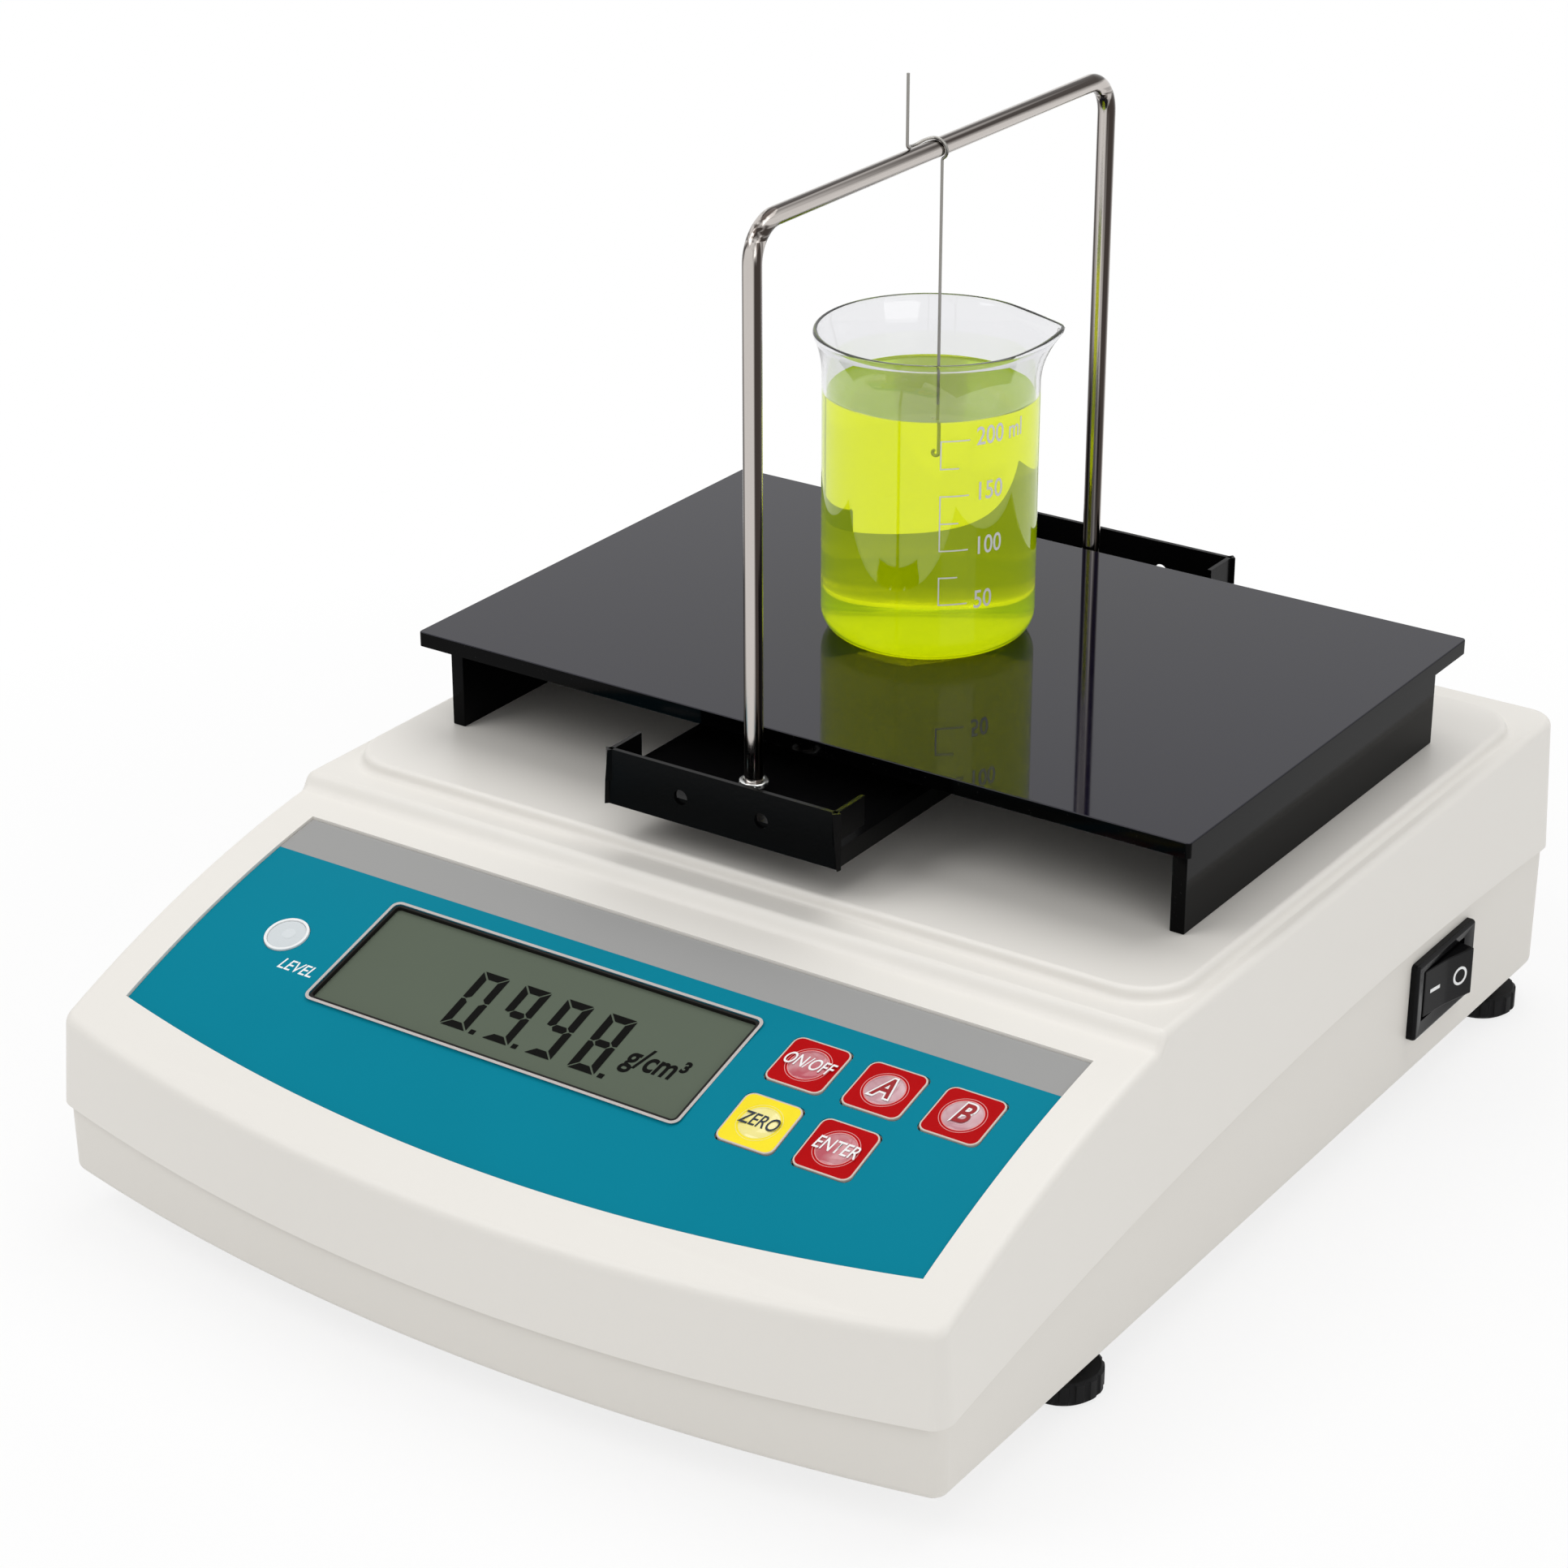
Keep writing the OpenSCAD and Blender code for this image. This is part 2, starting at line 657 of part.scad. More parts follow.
module display_board() {
    color([0.1, 0.35, 0.2]) on_panel(board_x, board_center_t) translate([0, 0, -board_depth - board_t]) difference() {
        translate([-board_w / 2, -board_h / 2, 0]) cube([board_w, board_h, board_t]);
        for (p = board_post_at) translate([p.x, p.y, -1]) cylinder(r = 1.3, h = board_t + 2);
    }
}

// Push switch under each key, standing on the board
module push_switches() {
    color([0.15, 0.15, 0.16])
        on_panel(board_x, board_center_t)
            for (k = [0:len(key_list) - 1])
                translate([key_cx(k) - board_x, board_center_t - key_ct(k), -board_depth]) {
                    translate([-3, -3, 0]) cube([6, 6, 3.5]);
                    cylinder(r = 1.75, h = board_depth - switch_top);
                }
}

module board_screws() {
    color([0.6, 0.6, 0.62]) on_panel(board_x, board_center_t)
        for (p = board_post_at)
            translate([p.x, p.y, -board_depth - board_t]) {
                translate([0, 0, -1.6]) cylinder(r = 2.2, h = 1.6);
                translate([0, 0, -eps]) cylinder(r = 1, h = board_t + 4);
            }
}

module main_board() {
    color([0.1, 0.35, 0.2])
        translate([main_board_at.x - main_board_w / 2, main_board_at.y - main_board_d / 2, main_board_z])
            cube([main_board_w, main_board_d, board_t]);
}

// Transformer, smoothing capacitors, processor and plug strip
module board_parts() {
    color([0.2, 0.2, 0.22]) translate([main_board_at.x, main_board_at.y, main_board_z + board_t]) {
        translate([-50, -20, 0]) cube([30, 26, 18]);
        for (k = [0:2]) translate([-8 + 12 * k, 22, 0]) cylinder(r = 5, h = 14);
        translate([0, -16, 0]) cube([14, 14, 2]);
        translate([30, -30, 0]) cube([6, 40, 7]);
    }
}

// ---- Load cell and what it carries ----

// Parallel beam with two joined holes across it, which leave thin webs that bend
module load_cell() {
    color([0.75, 0.76, 0.78]) translate([0, cell_y0, cell_z]) difference() {
        translate([-cell_w / 2, 0, 0]) cube([cell_w, cell_l, cell_h]);
        for (dy = [-16, 16])
            translate([-cell_w, cell_l / 2 + dy, cell_h / 2]) rotate([0, 90, 0]) cylinder(r = cell_h / 2 - 1.6, h = 2 * cell_w);
        translate([-cell_w, cell_l / 2 - 16, cell_h / 2 - 3]) cube([2 * cell_w, 32, 6]);
        for (y = [cell_l - 18, cell_l - 7]) translate([0, y, -1]) cylinder(r = 2.6, h = 12);
        for (y = [7, 18]) translate([0, y, cell_h - 11]) cylinder(r = 2.6, h = 12);
    }
}

module cell_base() {
    color([0.55, 0.56, 0.58]) difference() {
        translate([-cell_w / 2 - 8, cell_y0 + cell_l - cell_end, floor_z])
            cube([cell_w + 16, cell_end + 8, cell_z - floor_z]);
        for (y = [cell_l - 18, cell_l - 7])
            translate([0, cell_y0 + y, floor_z - 1]) {
                cylinder(r = 2.6, h = cell_z);
                cylinder(r = 5, h = cell_z - floor_z - 12);
            }
    }
}

module cell_screws() {
    color([0.3, 0.3, 0.32]) {
        for (y = [cell_l - 18, cell_l - 7]) translate([0, cell_y0 + y, cell_z - 18]) {
            translate([0, 0, 5 - eps]) cylinder(r = 2.5, h = 22);
            cylinder(r = 4.5, h = 5);
        }
    }
}

module overload_stop() {
    color([0.6, 0.6, 0.62]) translate([0, cell_y0 + 12, floor_z]) {
        cylinder(r = 3, h = cell_z - stop_gap - floor_z);
        cylinder(r = 5.5, h = 5, $fn = 6);
    }
}

// Plate on the free end of the load cell, reaching back under the tray's centre
module pan_bridge() {
    color([0.55, 0.56, 0.58]) difference() {
        union() {
            translate([-cell_w / 2, cell_y0, cell_z + cell_h]) cube([cell_w, cell_end, bridge_gap + eps]);
            translate([-bridge_w / 2, cell_y0, cell_z + cell_h + bridge_gap])
                cube([bridge_w, table_y - cell_y0 + 16, bridge_t]);
        }
        for (y = [7, 18]) translate([0, cell_y0 + y, cell_z]) cylinder(r = 2.6, h = 60);
    }
}

// Cross plate on a post that comes up through the plateau
module pan_carrier() {
    color([0.7, 0.71, 0.73]) {
        translate([0, table_y, cell_z + cell_h + bridge_gap + bridge_t])
            cylinder(r = post_r, h = carrier_z - (cell_z + cell_h + bridge_gap + bridge_t) + eps);
        for (s = [-1, 1])
            translate([0, table_y, carrier_z]) rotate([0, 0, s * atan2(carrier_l, carrier_w)])
                translate([-norm([carrier_w, carrier_l]) / 2, -6, 0])
                    cube([norm([carrier_w, carrier_l]), 12, carrier_t]);
        translate([0, table_y, carrier_z]) cylinder(r = 14, h = carrier_t);
    }
}

module buffers() {
    color([0.12, 0.12, 0.12])
        for (sx = [-1, 1], sy = [-1, 1])
            translate([sx * (carrier_w / 2 - 6), table_y + sy * (carrier_l / 2 - 7.6), carrier_z + carrier_t])
                cylinder(r = buffer_r, h = buffer_h);
}

tray_hole_z = tray_z + tray_hole_d / 2 + 0.2;

module weigh_tray() {
    hw = tray_w / 2;
    y0 = tray_y - tray_l / 2;
    color([0.06, 0.06, 0.07]) difference() {
        union() {
            translate([-hw, y0, tray_bottom]) cube([tray_w, tray_l, sheet_t]);
            for (x = [-hw, hw - sheet_t]) {
                translate([x, y0, tray_z - tray_flange]) cube([sheet_t, tray_l, tray_flange]);
                for (y = [y0, y0 + tray_l - tray_return])
                    translate([x, y, tray_z - end_wall_down]) cube([sheet_t, tray_return, end_wall_down + end_wall_up]);
            }
            for (y = [y0, y0 + tray_l - sheet_t])
                translate([-hw, y, tray_z - end_wall_down]) cube([tray_w, sheet_t, end_wall_down + end_wall_up]);
        }
        for (sx = [-1, 1], y = [y0 - 1, y0 + tray_l - sheet_t - 1])
            translate([sx * tray_hole_pitch / 2, y, tray_hole_z]) rotate([-90, 0, 0])
                cylinder(r = tray_hole_d / 2, h = sheet_t + 2);
        for (y = [rod_front_y, rod_rear_y])
            translate([0, y, tray_bottom - 1]) cylinder(r = spigot_r + run_fit, h = sheet_t + 2);
    }
}

// One rod bent into a tall frame, with a thinner spigot at each foot
module rod_frame() {
    ya = rod_front_y;
    yb = rod_rear_y;
    zb = bar_z - rod_bend;
    color([0.75, 0.74, 0.72]) {
        for (y = [ya, yb]) {
            translate([0, y, tray_z]) cylinder(d = rod_d, h = zb - tray_z);
            translate([0, y, tray_bottom - nut_h - 1]) cylinder(r = spigot_r, h = sheet_t + nut_h + 1 + eps);
        }
        translate([0, ya + rod_bend, bar_z]) rotate([-90, 0, 0]) cylinder(d = rod_d, h = yb - ya - 2 * rod_bend);
        translate([0, ya + rod_bend, zb]) rotate([90, 0, -90]) rotate_extrude(angle = 90)
            translate([rod_bend, 0]) circle(d = rod_d);
        translate([0, yb - rod_bend, zb]) rotate([90, 0, 90]) rotate_extrude(angle = 90)
            translate([rod_bend, 0]) circle(d = rod_d);
    }
}

module rod_rings() {
    color([0.85, 0.85, 0.84])
        for (y = [rod_front_y, rod_rear_y]) translate([0, y, tray_z]) difference() {
            cylinder(d = ring_d, h = ring_h);
            translate([0, 0, -1]) cylinder(d = rod_d + 2 * run_fit, h = ring_h + 2);
        }
}

module rod_nuts() {
    color([0.7, 0.7, 0.7])
        for (y = [rod_front_y, rod_rear_y]) translate([0, y, tray_bottom - nut_h]) difference() {
            cylinder(r = nut_r, h = nut_h, $fn = 6);
            translate([0, 0, -1]) cylinder(r = spigot_r + run_fit, h = nut_h + 2);
        }
}

// Tube of 8 sides along a path of points, each ring turned as little as the path allows
function unit(v) = v / norm(v);
function tangent(p, i) = unit(p[min(i + 1, len(p) - 1)] - p[max(i - 1, 0)]);
function normals(p, i = 0, n = [1, 0, 0]) =
    let (t = tangent(p, i), m = unit(n - (n * t) * t))
    i == len(p) - 1 ? [m] : concat([m], normals(p, i + 1, m));
module tube(path, r) {
    sides = 8;
    n = len(path);
    ns = normals(path);
    points = [for (i = [0:n - 1]) let (b = cross(tangent(path, i), ns[i]))
        for (k = [0:sides - 1]) let (a = 360 * k / sides) path[i] + r * (cos(a) * ns[i] + sin(a) * b)];
    walls = [for (i = [0:n - 2]) for (k = [0:sides - 1])
        let (a = i * sides + k, b = i * sides + (k + 1) % sides)
        for (f = [[a, a + sides, b + sides], [a, b + sides, b]]) f];
    ends = [for (k = [1:sides - 2]) for (f = [[0, k, k + 1],
        [(n - 1) * sides, (n - 1) * sides + k + 1, (n - 1) * sides + k]]) f];
    polyhedron(points = points, faces = concat(walls, ends), convexity = 8);
}

// Wire laid over the bar: one end stands up from it, the other hangs down to a small closed hook
coil_r = rod_d / 2 + wire_d / 2 + 0.15;
wrap_run = 3;
wrap_end = -60;
back_lean = 50;
bend_r = 1.2;
hook_r = 0.95;
hook_sweep = 247.5;
hang_x = coil_r * cos(wrap_end) + bend_r * (cos(wrap_end) - 1);
module hook_wire() {
    tail_y = wire_y - tail_run;
    top = bar_z + coil_r;
    eye = hook_z + wire_d / 2 + hook_r;
    run_y = tail_y + bend_r;
    run_l = wire_y - wrap_run - run_y;
    tail = [[0, tail_y, bar_z + tail_h],
            for (a = [0:22.5:90]) [0, tail_y + bend_r - bend_r * cos(a), top + bend_r - bend_r * sin(a)]];
    run = [for (k = [1:7]) let (a = 90 + back_lean * sin(180 * k / 8))
        [coil_r * cos(a), run_y + run_l * k / 8, bar_z + coil_r * sin(a)]];
    wrap = [for (a = [90:-15:wrap_end])
        [coil_r * cos(a), wire_y - wrap_run * (a - wrap_end) / (90 - wrap_end), bar_z + coil_r * sin(a)]];
    drop = [for (a = [wrap_end + 15:15:0])
        [coil_r * cos(wrap_end) + bend_r * (cos(wrap_end) - cos(a)), wire_y,
         bar_z + coil_r * sin(wrap_end) + bend_r * (sin(wrap_end) - sin(a))]];
    hook = [for (a = [0:-22.5:-hook_sweep]) [hang_x - hook_r + hook_r * cos(a), wire_y, eye + hook_r * sin(a)]];
    color([0.6, 0.6, 0.6]) tube(concat(tail, run, wrap, drop, hook), wire_d / 2);
}

// ---- Table, beaker and sample ----

module table_top() {
    color([0.08, 0.08, 0.09]) translate([-table_w / 2, table_y - table_d / 2, table_z])
        cube([table_w, table_d, acrylic_t]);
}

module table_leg(side) {
    x = side > 0 ? table_w / 2 - leg_inset - acrylic_t : -table_w / 2 + leg_inset;
    color([0.07, 0.07, 0.08]) translate([x, table_y - table_d / 2 + leg_end_inset, plateau_z])
        cube([acrylic_t, table_d - 2 * leg_end_inset, table_clear]);
}
module table_leg_left() { table_leg(-1); }
module table_leg_right() { table_leg(1); }

// Half profile of the beaker at a distance g inside its outer face
function beaker_profile(g, top) =
    let (r = beaker_d / 2 - g, c = foot_curve - g, h = beaker_h)
    concat([[0, g]],
           [for (a = [0:15:90]) [r - c + c * sin(a), g + c - c * cos(a)]],
           [[r, h - 14]],
           [for (a = [15:15:60]) [rim_r - g - (rim_r - beaker_d / 2) * cos(a) , h - 14 + 12 * a / 60]],
           [[rim_r - g, top]],
           [[0, top]]);

module spout(g) {
    hull() {
        translate([rim_r - 10, 0, beaker_h - 9]) sphere(r = 4.5 - g, $fn = 24);
        translate([rim_r - 6, 0, beaker_h + 2]) scale([1, 1.4, 1]) sphere(r = 8 - g, $fn = 24);
        translate([rim_r + 3.2, 0, beaker_h + 0.6]) sphere(r = 2.6 - g, $fn = 24);
    }
}

module beaker() {
    color([0.85, 0.9, 0.95, 0.3]) translate([beaker_x, beaker_y, glass_z]) rotate([0, 0, 34]) difference() {
        intersection() {
            union() {
                rotate_extrude() polygon(beaker_profile(0, beaker_h));
                spout(0);
            }
            cylinder(r = rim_r + 12, h = beaker_h);
        }
        rotate_extrude() polygon(beaker_profile(glass_t, beaker_h + 1));
        spout(glass_t);
    }
}

// The liquid, with a narrow slot where the wire and its hook hang
module sample_liquid() {
    gap = 0.3;
    color([0.84, 0.86, 0.16, 0.7]) difference() {
        translate([beaker_x, beaker_y, glass_z]) intersection() {
            rotate_extrude() polygon(beaker_profile(glass_t + gap, beaker_h));
            cylinder(r = beaker_d, h = fill_h);
        }
        translate([hang_x - 2 * hook_r - wire_d, wire_y - 2, glass_z + 6]) cube([2 * hook_r + 2 * wire_d, 4, fill_h]);
    }
}

// ---- Power switch ----

module switch_body() {
    color([0.07, 0.07, 0.08]) on_switch() difference() {
        union() {
            hull() {
                translate([0, -switch_l / 2, -switch_h / 2]) cube([bezel_t / 2, switch_l, switch_h]);
                translate([0, -switch_l / 2 + 1.4, -switch_h / 2 + 1.4])
                    cube([bezel_t, switch_l - 2.8, switch_h - 2.8]);
            }
            translate([-switch_depth, -switch_l / 2 + 3 + clear, -switch_h / 2 + 3 + clear])
                cube([switch_depth + eps, switch_l - 6 - 2 * clear, switch_h - 6 - 2 * clear]);
            for (dy = [-12, 0, 12]) translate([-switch_depth - 8, dy - 0.4, -3]) cube([8 + eps, 0.8, 6]);
        }
        translate([-rocker_pivot, 0, -rocker_w / 2 - clear]) intersection() {
            cylinder(r = rocker_r + clear, h = rocker_w + 2 * clear, $fn = 96);
            translate([-rocker_back - 2, -rocker_r - 1, -1]) cube([30, 2 * rocker_r + 2, rocker_w + 2]);
        }
        translate([-rocker_pivot, 0, -rocker_w / 2 - pin_l - 0.1])
            cylinder(r = pin_r + run_fit, h = rocker_w + 2 * pin_l + 0.2);
    }
}

// Rocker whose two faces meet in a shallow valley; at rest its front face is pressed
module switch_rocker() {
    rise = rocker_r * tan(rocker_wing);
    color([0.05, 0.05, 0.06]) on_switch() translate([-rocker_pivot, 0, -rocker_w / 2]) rotate([0, 0, -rocker_wing])
        intersection() {
            cylinder(r = rocker_r, h = rocker_w, $fn = 96);
            linear_extrude(rocker_w) polygon([[-rocker_back, -6], [rocker_face - 1, -rocker_r],
                [rocker_face + rise, -rocker_r], [rocker_face, 0], [rocker_face + rise, rocker_r],
                [rocker_face - 1, rocker_r], [-rocker_back, 6]]);
        }
    color([0.05, 0.05, 0.06]) on_switch() translate([-rocker_pivot, 0, -rocker_w / 2 - pin_l])
        cylinder(r = pin_r, h = rocker_w + 2 * pin_l);
}

// ---- Back sockets ----

module power_jack() {
    color([0.08, 0.08, 0.09]) on_back(jack_x) rotate([90, 0, 0]) difference() {
        union() {
            translate([0, 0, -1.6]) cylinder(r = 7, h = 1.6);
            cylinder(r = 5.4, h = 12);
        }
        difference() {
            translate([0, 0, -2]) cylinder(r = 3, h = 11);
            translate([0, 0, -3]) cylinder(r = 1, h = 14);
        }
    }
}

module serial_port() {
    color([0.7, 0.71, 0.72]) on_back(serial_x) {
        translate([-15.5, -wall - 1.4, -6.3]) cube([31, 1.2, 12.6]);
        translate([-9.6, -wall - 10, -4.6]) cube([19.2, 9, 9.2]);
        rotate([90, 0, 0]) translate([0, 0, -2.4]) difference() {
            linear_extrude(wall + 3) polygon([[-8.5, 4], [8.5, 4], [7, -4], [-7, -4]]);
            translate([0, 0, -1]) linear_extrude(1.6) polygon([[-7.7, 3.2], [7.7, 3.2], [6.4, -3.2], [-6.4, -3.2]]);
        }
    }
}

// ---- Levelling feet ----

module foot_stud(k) {
    color([0.62, 0.62, 0.64]) translate([foot_at[k].x, foot_at[k].y, stud_seat])
        cylinder(d = stud_d, h = stud_top - stud_seat);
}
module stud_front_left() { foot_stud(0); }
module stud_front_right() { foot_stud(1); }
module stud_rear_left() { foot_stud(2); }
module stud_rear_right() { foot_stud(3); }

// Wheel with grips round its edge and a hole for the stud
module foot_wheel(k) {
    color([0.1, 0.1, 0.1]) translate([foot_at[k].x, foot_at[k].y, 0]) difference() {
        union() {
            cylinder(d1 = foot_d - 3, d2 = foot_d, h = 1.2);
            translate([0, 0, 1.2]) cylinder(d = foot_d, h = foot_h - 2);
            translate([0, 0, foot_h - 0.8]) cylinder(d1 = foot_d, d2 = foot_d - 2, h = 0.8);
        }
        for (g = [0:foot_grips - 1])
            rotate([0, 0, g * 360 / foot_grips]) translate([foot_d / 2 + 0.5, 0, -1])
                cylinder(r = 1.3, h = foot_h + 2, $fn = 16);
        translate([0, 0, stud_seat]) cylinder(r = stud_d / 2 + run_fit, h = foot_h);
    }
}
module wheel_front_left() { foot_wheel(0); }
module wheel_front_right() { foot_wheel(1); }
module wheel_rear_left() { foot_wheel(2); }
module wheel_rear_right() { foot_wheel(3); }

top_cover();
lower_case();
panel_overlay();
lcd_window();
lcd_module();
level_vial();
key_on_off();
key_a();
key_b();
key_zero();
key_enter();
display_board();
push_switches();
board_screws();
main_board();
board_parts();
load_cell();
cell_base();
cell_screws();
overload_stop();
pan_bridge();
pan_carrier();
buffers();
weigh_tray();
rod_frame();
rod_rings();
rod_nuts();
hook_wire();
table_top();
table_leg_left();
table_leg_right();
beaker();
sample_liquid();
switch_body();
switch_rocker();
foot_inserts();
case_screws();
power_jack();
serial_port();
stud_front_left();
stud_front_right();
stud_rear_left();
stud_rear_right();
wheel_front_left();
wheel_front_right();
wheel_rear_left();
wheel_rear_right();
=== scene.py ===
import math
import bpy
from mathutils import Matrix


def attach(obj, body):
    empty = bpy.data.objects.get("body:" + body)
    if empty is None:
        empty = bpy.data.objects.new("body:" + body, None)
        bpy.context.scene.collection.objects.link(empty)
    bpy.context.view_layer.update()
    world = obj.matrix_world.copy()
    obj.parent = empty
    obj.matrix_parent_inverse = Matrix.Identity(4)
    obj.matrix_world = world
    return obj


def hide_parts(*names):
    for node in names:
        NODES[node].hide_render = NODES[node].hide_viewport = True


bl_info = {
    "name": "Benchtop density meter",
    "version": (1, 0, 0),
    "blender": (4, 5, 0),
    "location": "View3D > Sidebar > Density meter",
    "description": "Dresses the benchtop density meter and sets up its studio",
    "category": "Add Mesh",
}

import bmesh
import bpy
from mathutils import Matrix, Vector

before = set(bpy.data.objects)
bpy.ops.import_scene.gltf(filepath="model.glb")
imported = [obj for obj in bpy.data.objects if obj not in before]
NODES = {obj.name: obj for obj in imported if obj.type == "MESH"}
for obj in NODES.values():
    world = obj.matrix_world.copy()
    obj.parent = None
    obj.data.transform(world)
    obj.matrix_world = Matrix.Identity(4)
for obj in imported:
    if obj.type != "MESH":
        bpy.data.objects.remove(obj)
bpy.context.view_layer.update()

MM = 0.001
FACING_RIGHT = Matrix(((0, 0, 1, 0), (1, 0, 0, 0), (0, 1, 0, 0), (0, 0, 0, 1)))
FACING_BACK = Matrix.Rotation(math.pi / 2, 4, "X")
PORT_Z = 0.038  # height of the jack and the port at the back
QUARTER = [math.radians(a) for a in (0, 15, 30, 45, 60, 75, 90)]


# ---- Sizes and colours that a user would change ----

def length(name, text, value):
    return bpy.props.FloatProperty(name=name, description=text, default=value, unit="LENGTH", precision=5)


def angle(name, text, degrees):
    return bpy.props.FloatProperty(name=name, description=text, default=math.radians(degrees), subtype="ANGLE")


def colour(name, text, value):
    return bpy.props.FloatVectorProperty(name=name, description=text, default=value, size=3, subtype="COLOR", min=0, max=1)


class CaseSizes(bpy.types.PropertyGroup):
    width: length("Width", "Width of the case", 0.325)
    depth: length("Depth", "Depth of the case along its centre line", 0.415)
    bow: length("Front bow", "How far the front edge bows forward of its corners", 0.0188)
    back_corner: length("Back corner", "Radius of the back corners in plan", 0.012)
    front_corner: length("Front corner", "Radius of the front corners in plan", 0.005)
    underside: length("Underside", "Height of the underside above the bench", 0.0135)
    deck: length("Deck", "Height of the flat deck above the bench", 0.106)
    draft: length("Draft", "Inward lean of the cover's sides", 0.002)
    edge: length("Edge", "Radius of the cover's upper edges", 0.003)
    wall: length("Wall", "Thickness of the mouldings", 0.0028)
    part_top: length("Parting height", "Highest point of the parting line", 0.063)
    part_radius: length("Parting radius", "Radius of the parting line's arch", 1.54)
    part_middle: length("Parting middle", "Where the parting line is highest", 0.0875)
    lower_step: length("Lower step", "Step in from the cover to the lower case", 0.0015)
    rim_lap: length("Rim lap", "Height of the lower case's rim inside the cover", 0.003)
    bottom_edge: length("Bottom edge", "Radius of the bottom edge", 0.003)
    ridge: length("Ridge", "Where the deck ends at the panel", -0.0685)
    ridge_step: length("Ridge step", "Step from the deck down to the panel", 0.0048)
    step_run: length("Step run", "Length of that step", 0.0025)
    lip: length("Lip", "Where the panel runs out to the front edge", -0.189)
    lip_slope: bpy.props.FloatProperty(name="Lip slope", description="Slope of the panel ahead of the lip", default=0.28)
    plateau_width: length("Plateau width", "Width of the raised plateau at its foot", 0.308)
    plateau_depth: length("Plateau depth", "Depth of the raised plateau at its foot", 0.247)
    plateau_middle: length("Plateau middle", "Centre of the plateau", 0.0655)
    plateau_rise: length("Plateau rise", "Height of the plateau above the deck", 0.004)
    plateau_corner: length("Plateau corner", "Corner radius of the plateau", 0.015)
    post_hole: length("Post hole", "Radius of the hole for the tray's post", 0.011)


class PanelSizes(bpy.types.PropertyGroup):
    radius: length("Radius", "Radius of the panel's curve", 0.4247)
    lead: angle("Lead", "Slope of the panel at its back edge", 7.96)
    half_width: length("Half width", "Half the width of the printed film", 0.145)
    start: length("Start", "From the ridge to the film's back edge, along the panel", 0.013)
    corner: length("Corner", "From the ridge to the film's front corners, along the panel", 0.1065)
    bow: length("Bow", "How far the film's front edge bows forward", 0.0143)
    thick: length("Thickness", "Thickness of the film", 0.0006)
    depth: length("Depth", "Depth of the film below the cover's face", 0.0008)
    band: length("Band", "Width of the grey band along the back edge", 0.0168)
    window_x: length("Window X", "Centre of the display window across the panel", -0.0207)
    window_t: length("Window T", "Centre of the display window along the panel", 0.0618)
    window_w: length("Window width", "Width of the display window", 0.138)
    window_h: length("Window height", "Height of the display window", 0.0465)
    window_deep: length("Window depth", "Depth of the display below the cover's face", 0.0026)
    level_x: length("Level X", "Centre of the level window across the panel", -0.1136)
    level_t: length("Level T", "Centre of the level window along the panel", 0.0648)
    level_r: length("Level radius", "Radius of the level window", 0.00725)
    key_w: length("Key", "Side of a square key", 0.0198)
    key_x: length("Key X", "Centre of the first key column", 0.0713)
    key_t: length("Key T", "Centre of the back row of keys", 0.0491)
    key_pitch: length("Key pitch", "Distance between the key columns", 0.0262)
    key_row: length("Row pitch", "Distance between the two rows", 0.0261)
    key_proud: length("Key height", "Height of a key above the film", 0.0003)


class WeighingSizes(bpy.types.PropertyGroup):
    tray_w: length("Tray width", "Width of the weighing tray", 0.0846)
    tray_l: length("Tray length", "Length of the weighing tray", 0.2495)
    tray_y: length("Tray centre", "Centre of the tray", 0.06375)
    tray_z: length("Tray floor", "Height of the tray's floor", 0.1305)
    sheet: length("Sheet", "Thickness of the tray's sheet", 0.0015)
    wall_up: length("End wall up", "Top of the end walls above the floor", 0.0105)
    wall_down: length("End wall down", "Bottom of the end walls below the floor", 0.0082)
    flange: length("Flange", "Depth of the folded sides below the floor", 0.0082)
    back: length("Return", "Length of the end walls' returns", 0.0155)
    hole_d: length("Hole", "Diameter of the holes in the end walls", 0.005)
    hole_pitch: length("Hole pitch", "Distance between those holes", 0.03)
    rod_d: length("Rod", "Diameter of the rod", 0.006)
    rod_front: length("Front upright", "Centre of the front upright", -0.043)
    rod_rear: length("Rear upright", "Centre of the rear upright", 0.1635)
    bar_z: length("Bar height", "Height of the bar's centre line", 0.3107)
    bend: length("Bend", "Radius of the rod's bends", 0.012)
    ring_d: length("Ring", "Diameter of the rings at the rod's feet", 0.0095)
    collar_h: length("Collar", "Height of the black collars under the rings", 0.0026)
    wire_d: length("Wire", "Diameter of the hook wire", 0.001)
    wire_y: length("Wire place", "Where the wire hangs from the bar", 0.0589)
    hook_z: length("Hook height", "Height of the hook's lowest point", 0.2113)
    tail_run: length("Tail run", "From the hanging wire to the upright tail", 0.0184)
    tail_h: length("Tail height", "Height of the tail above the bar", 0.027)


class TableSizes(bpy.types.PropertyGroup):
    width: length("Width", "Width of the table's plate", 0.288)
    depth: length("Depth", "Depth of the table's plate", 0.188)
    middle: length("Centre", "Centre of the table", 0.0655)
    thick: length("Thickness", "Thickness of the acrylic sheet", 0.005)
    under: length("Underside", "Height of the table's underside", 0.1403)
    leg_inset: length("Leg inset", "From the plate's sides in to the legs", 0.0056)
    leg_end: length("Leg end inset", "From the plate's ends in to the legs", 0.0096)


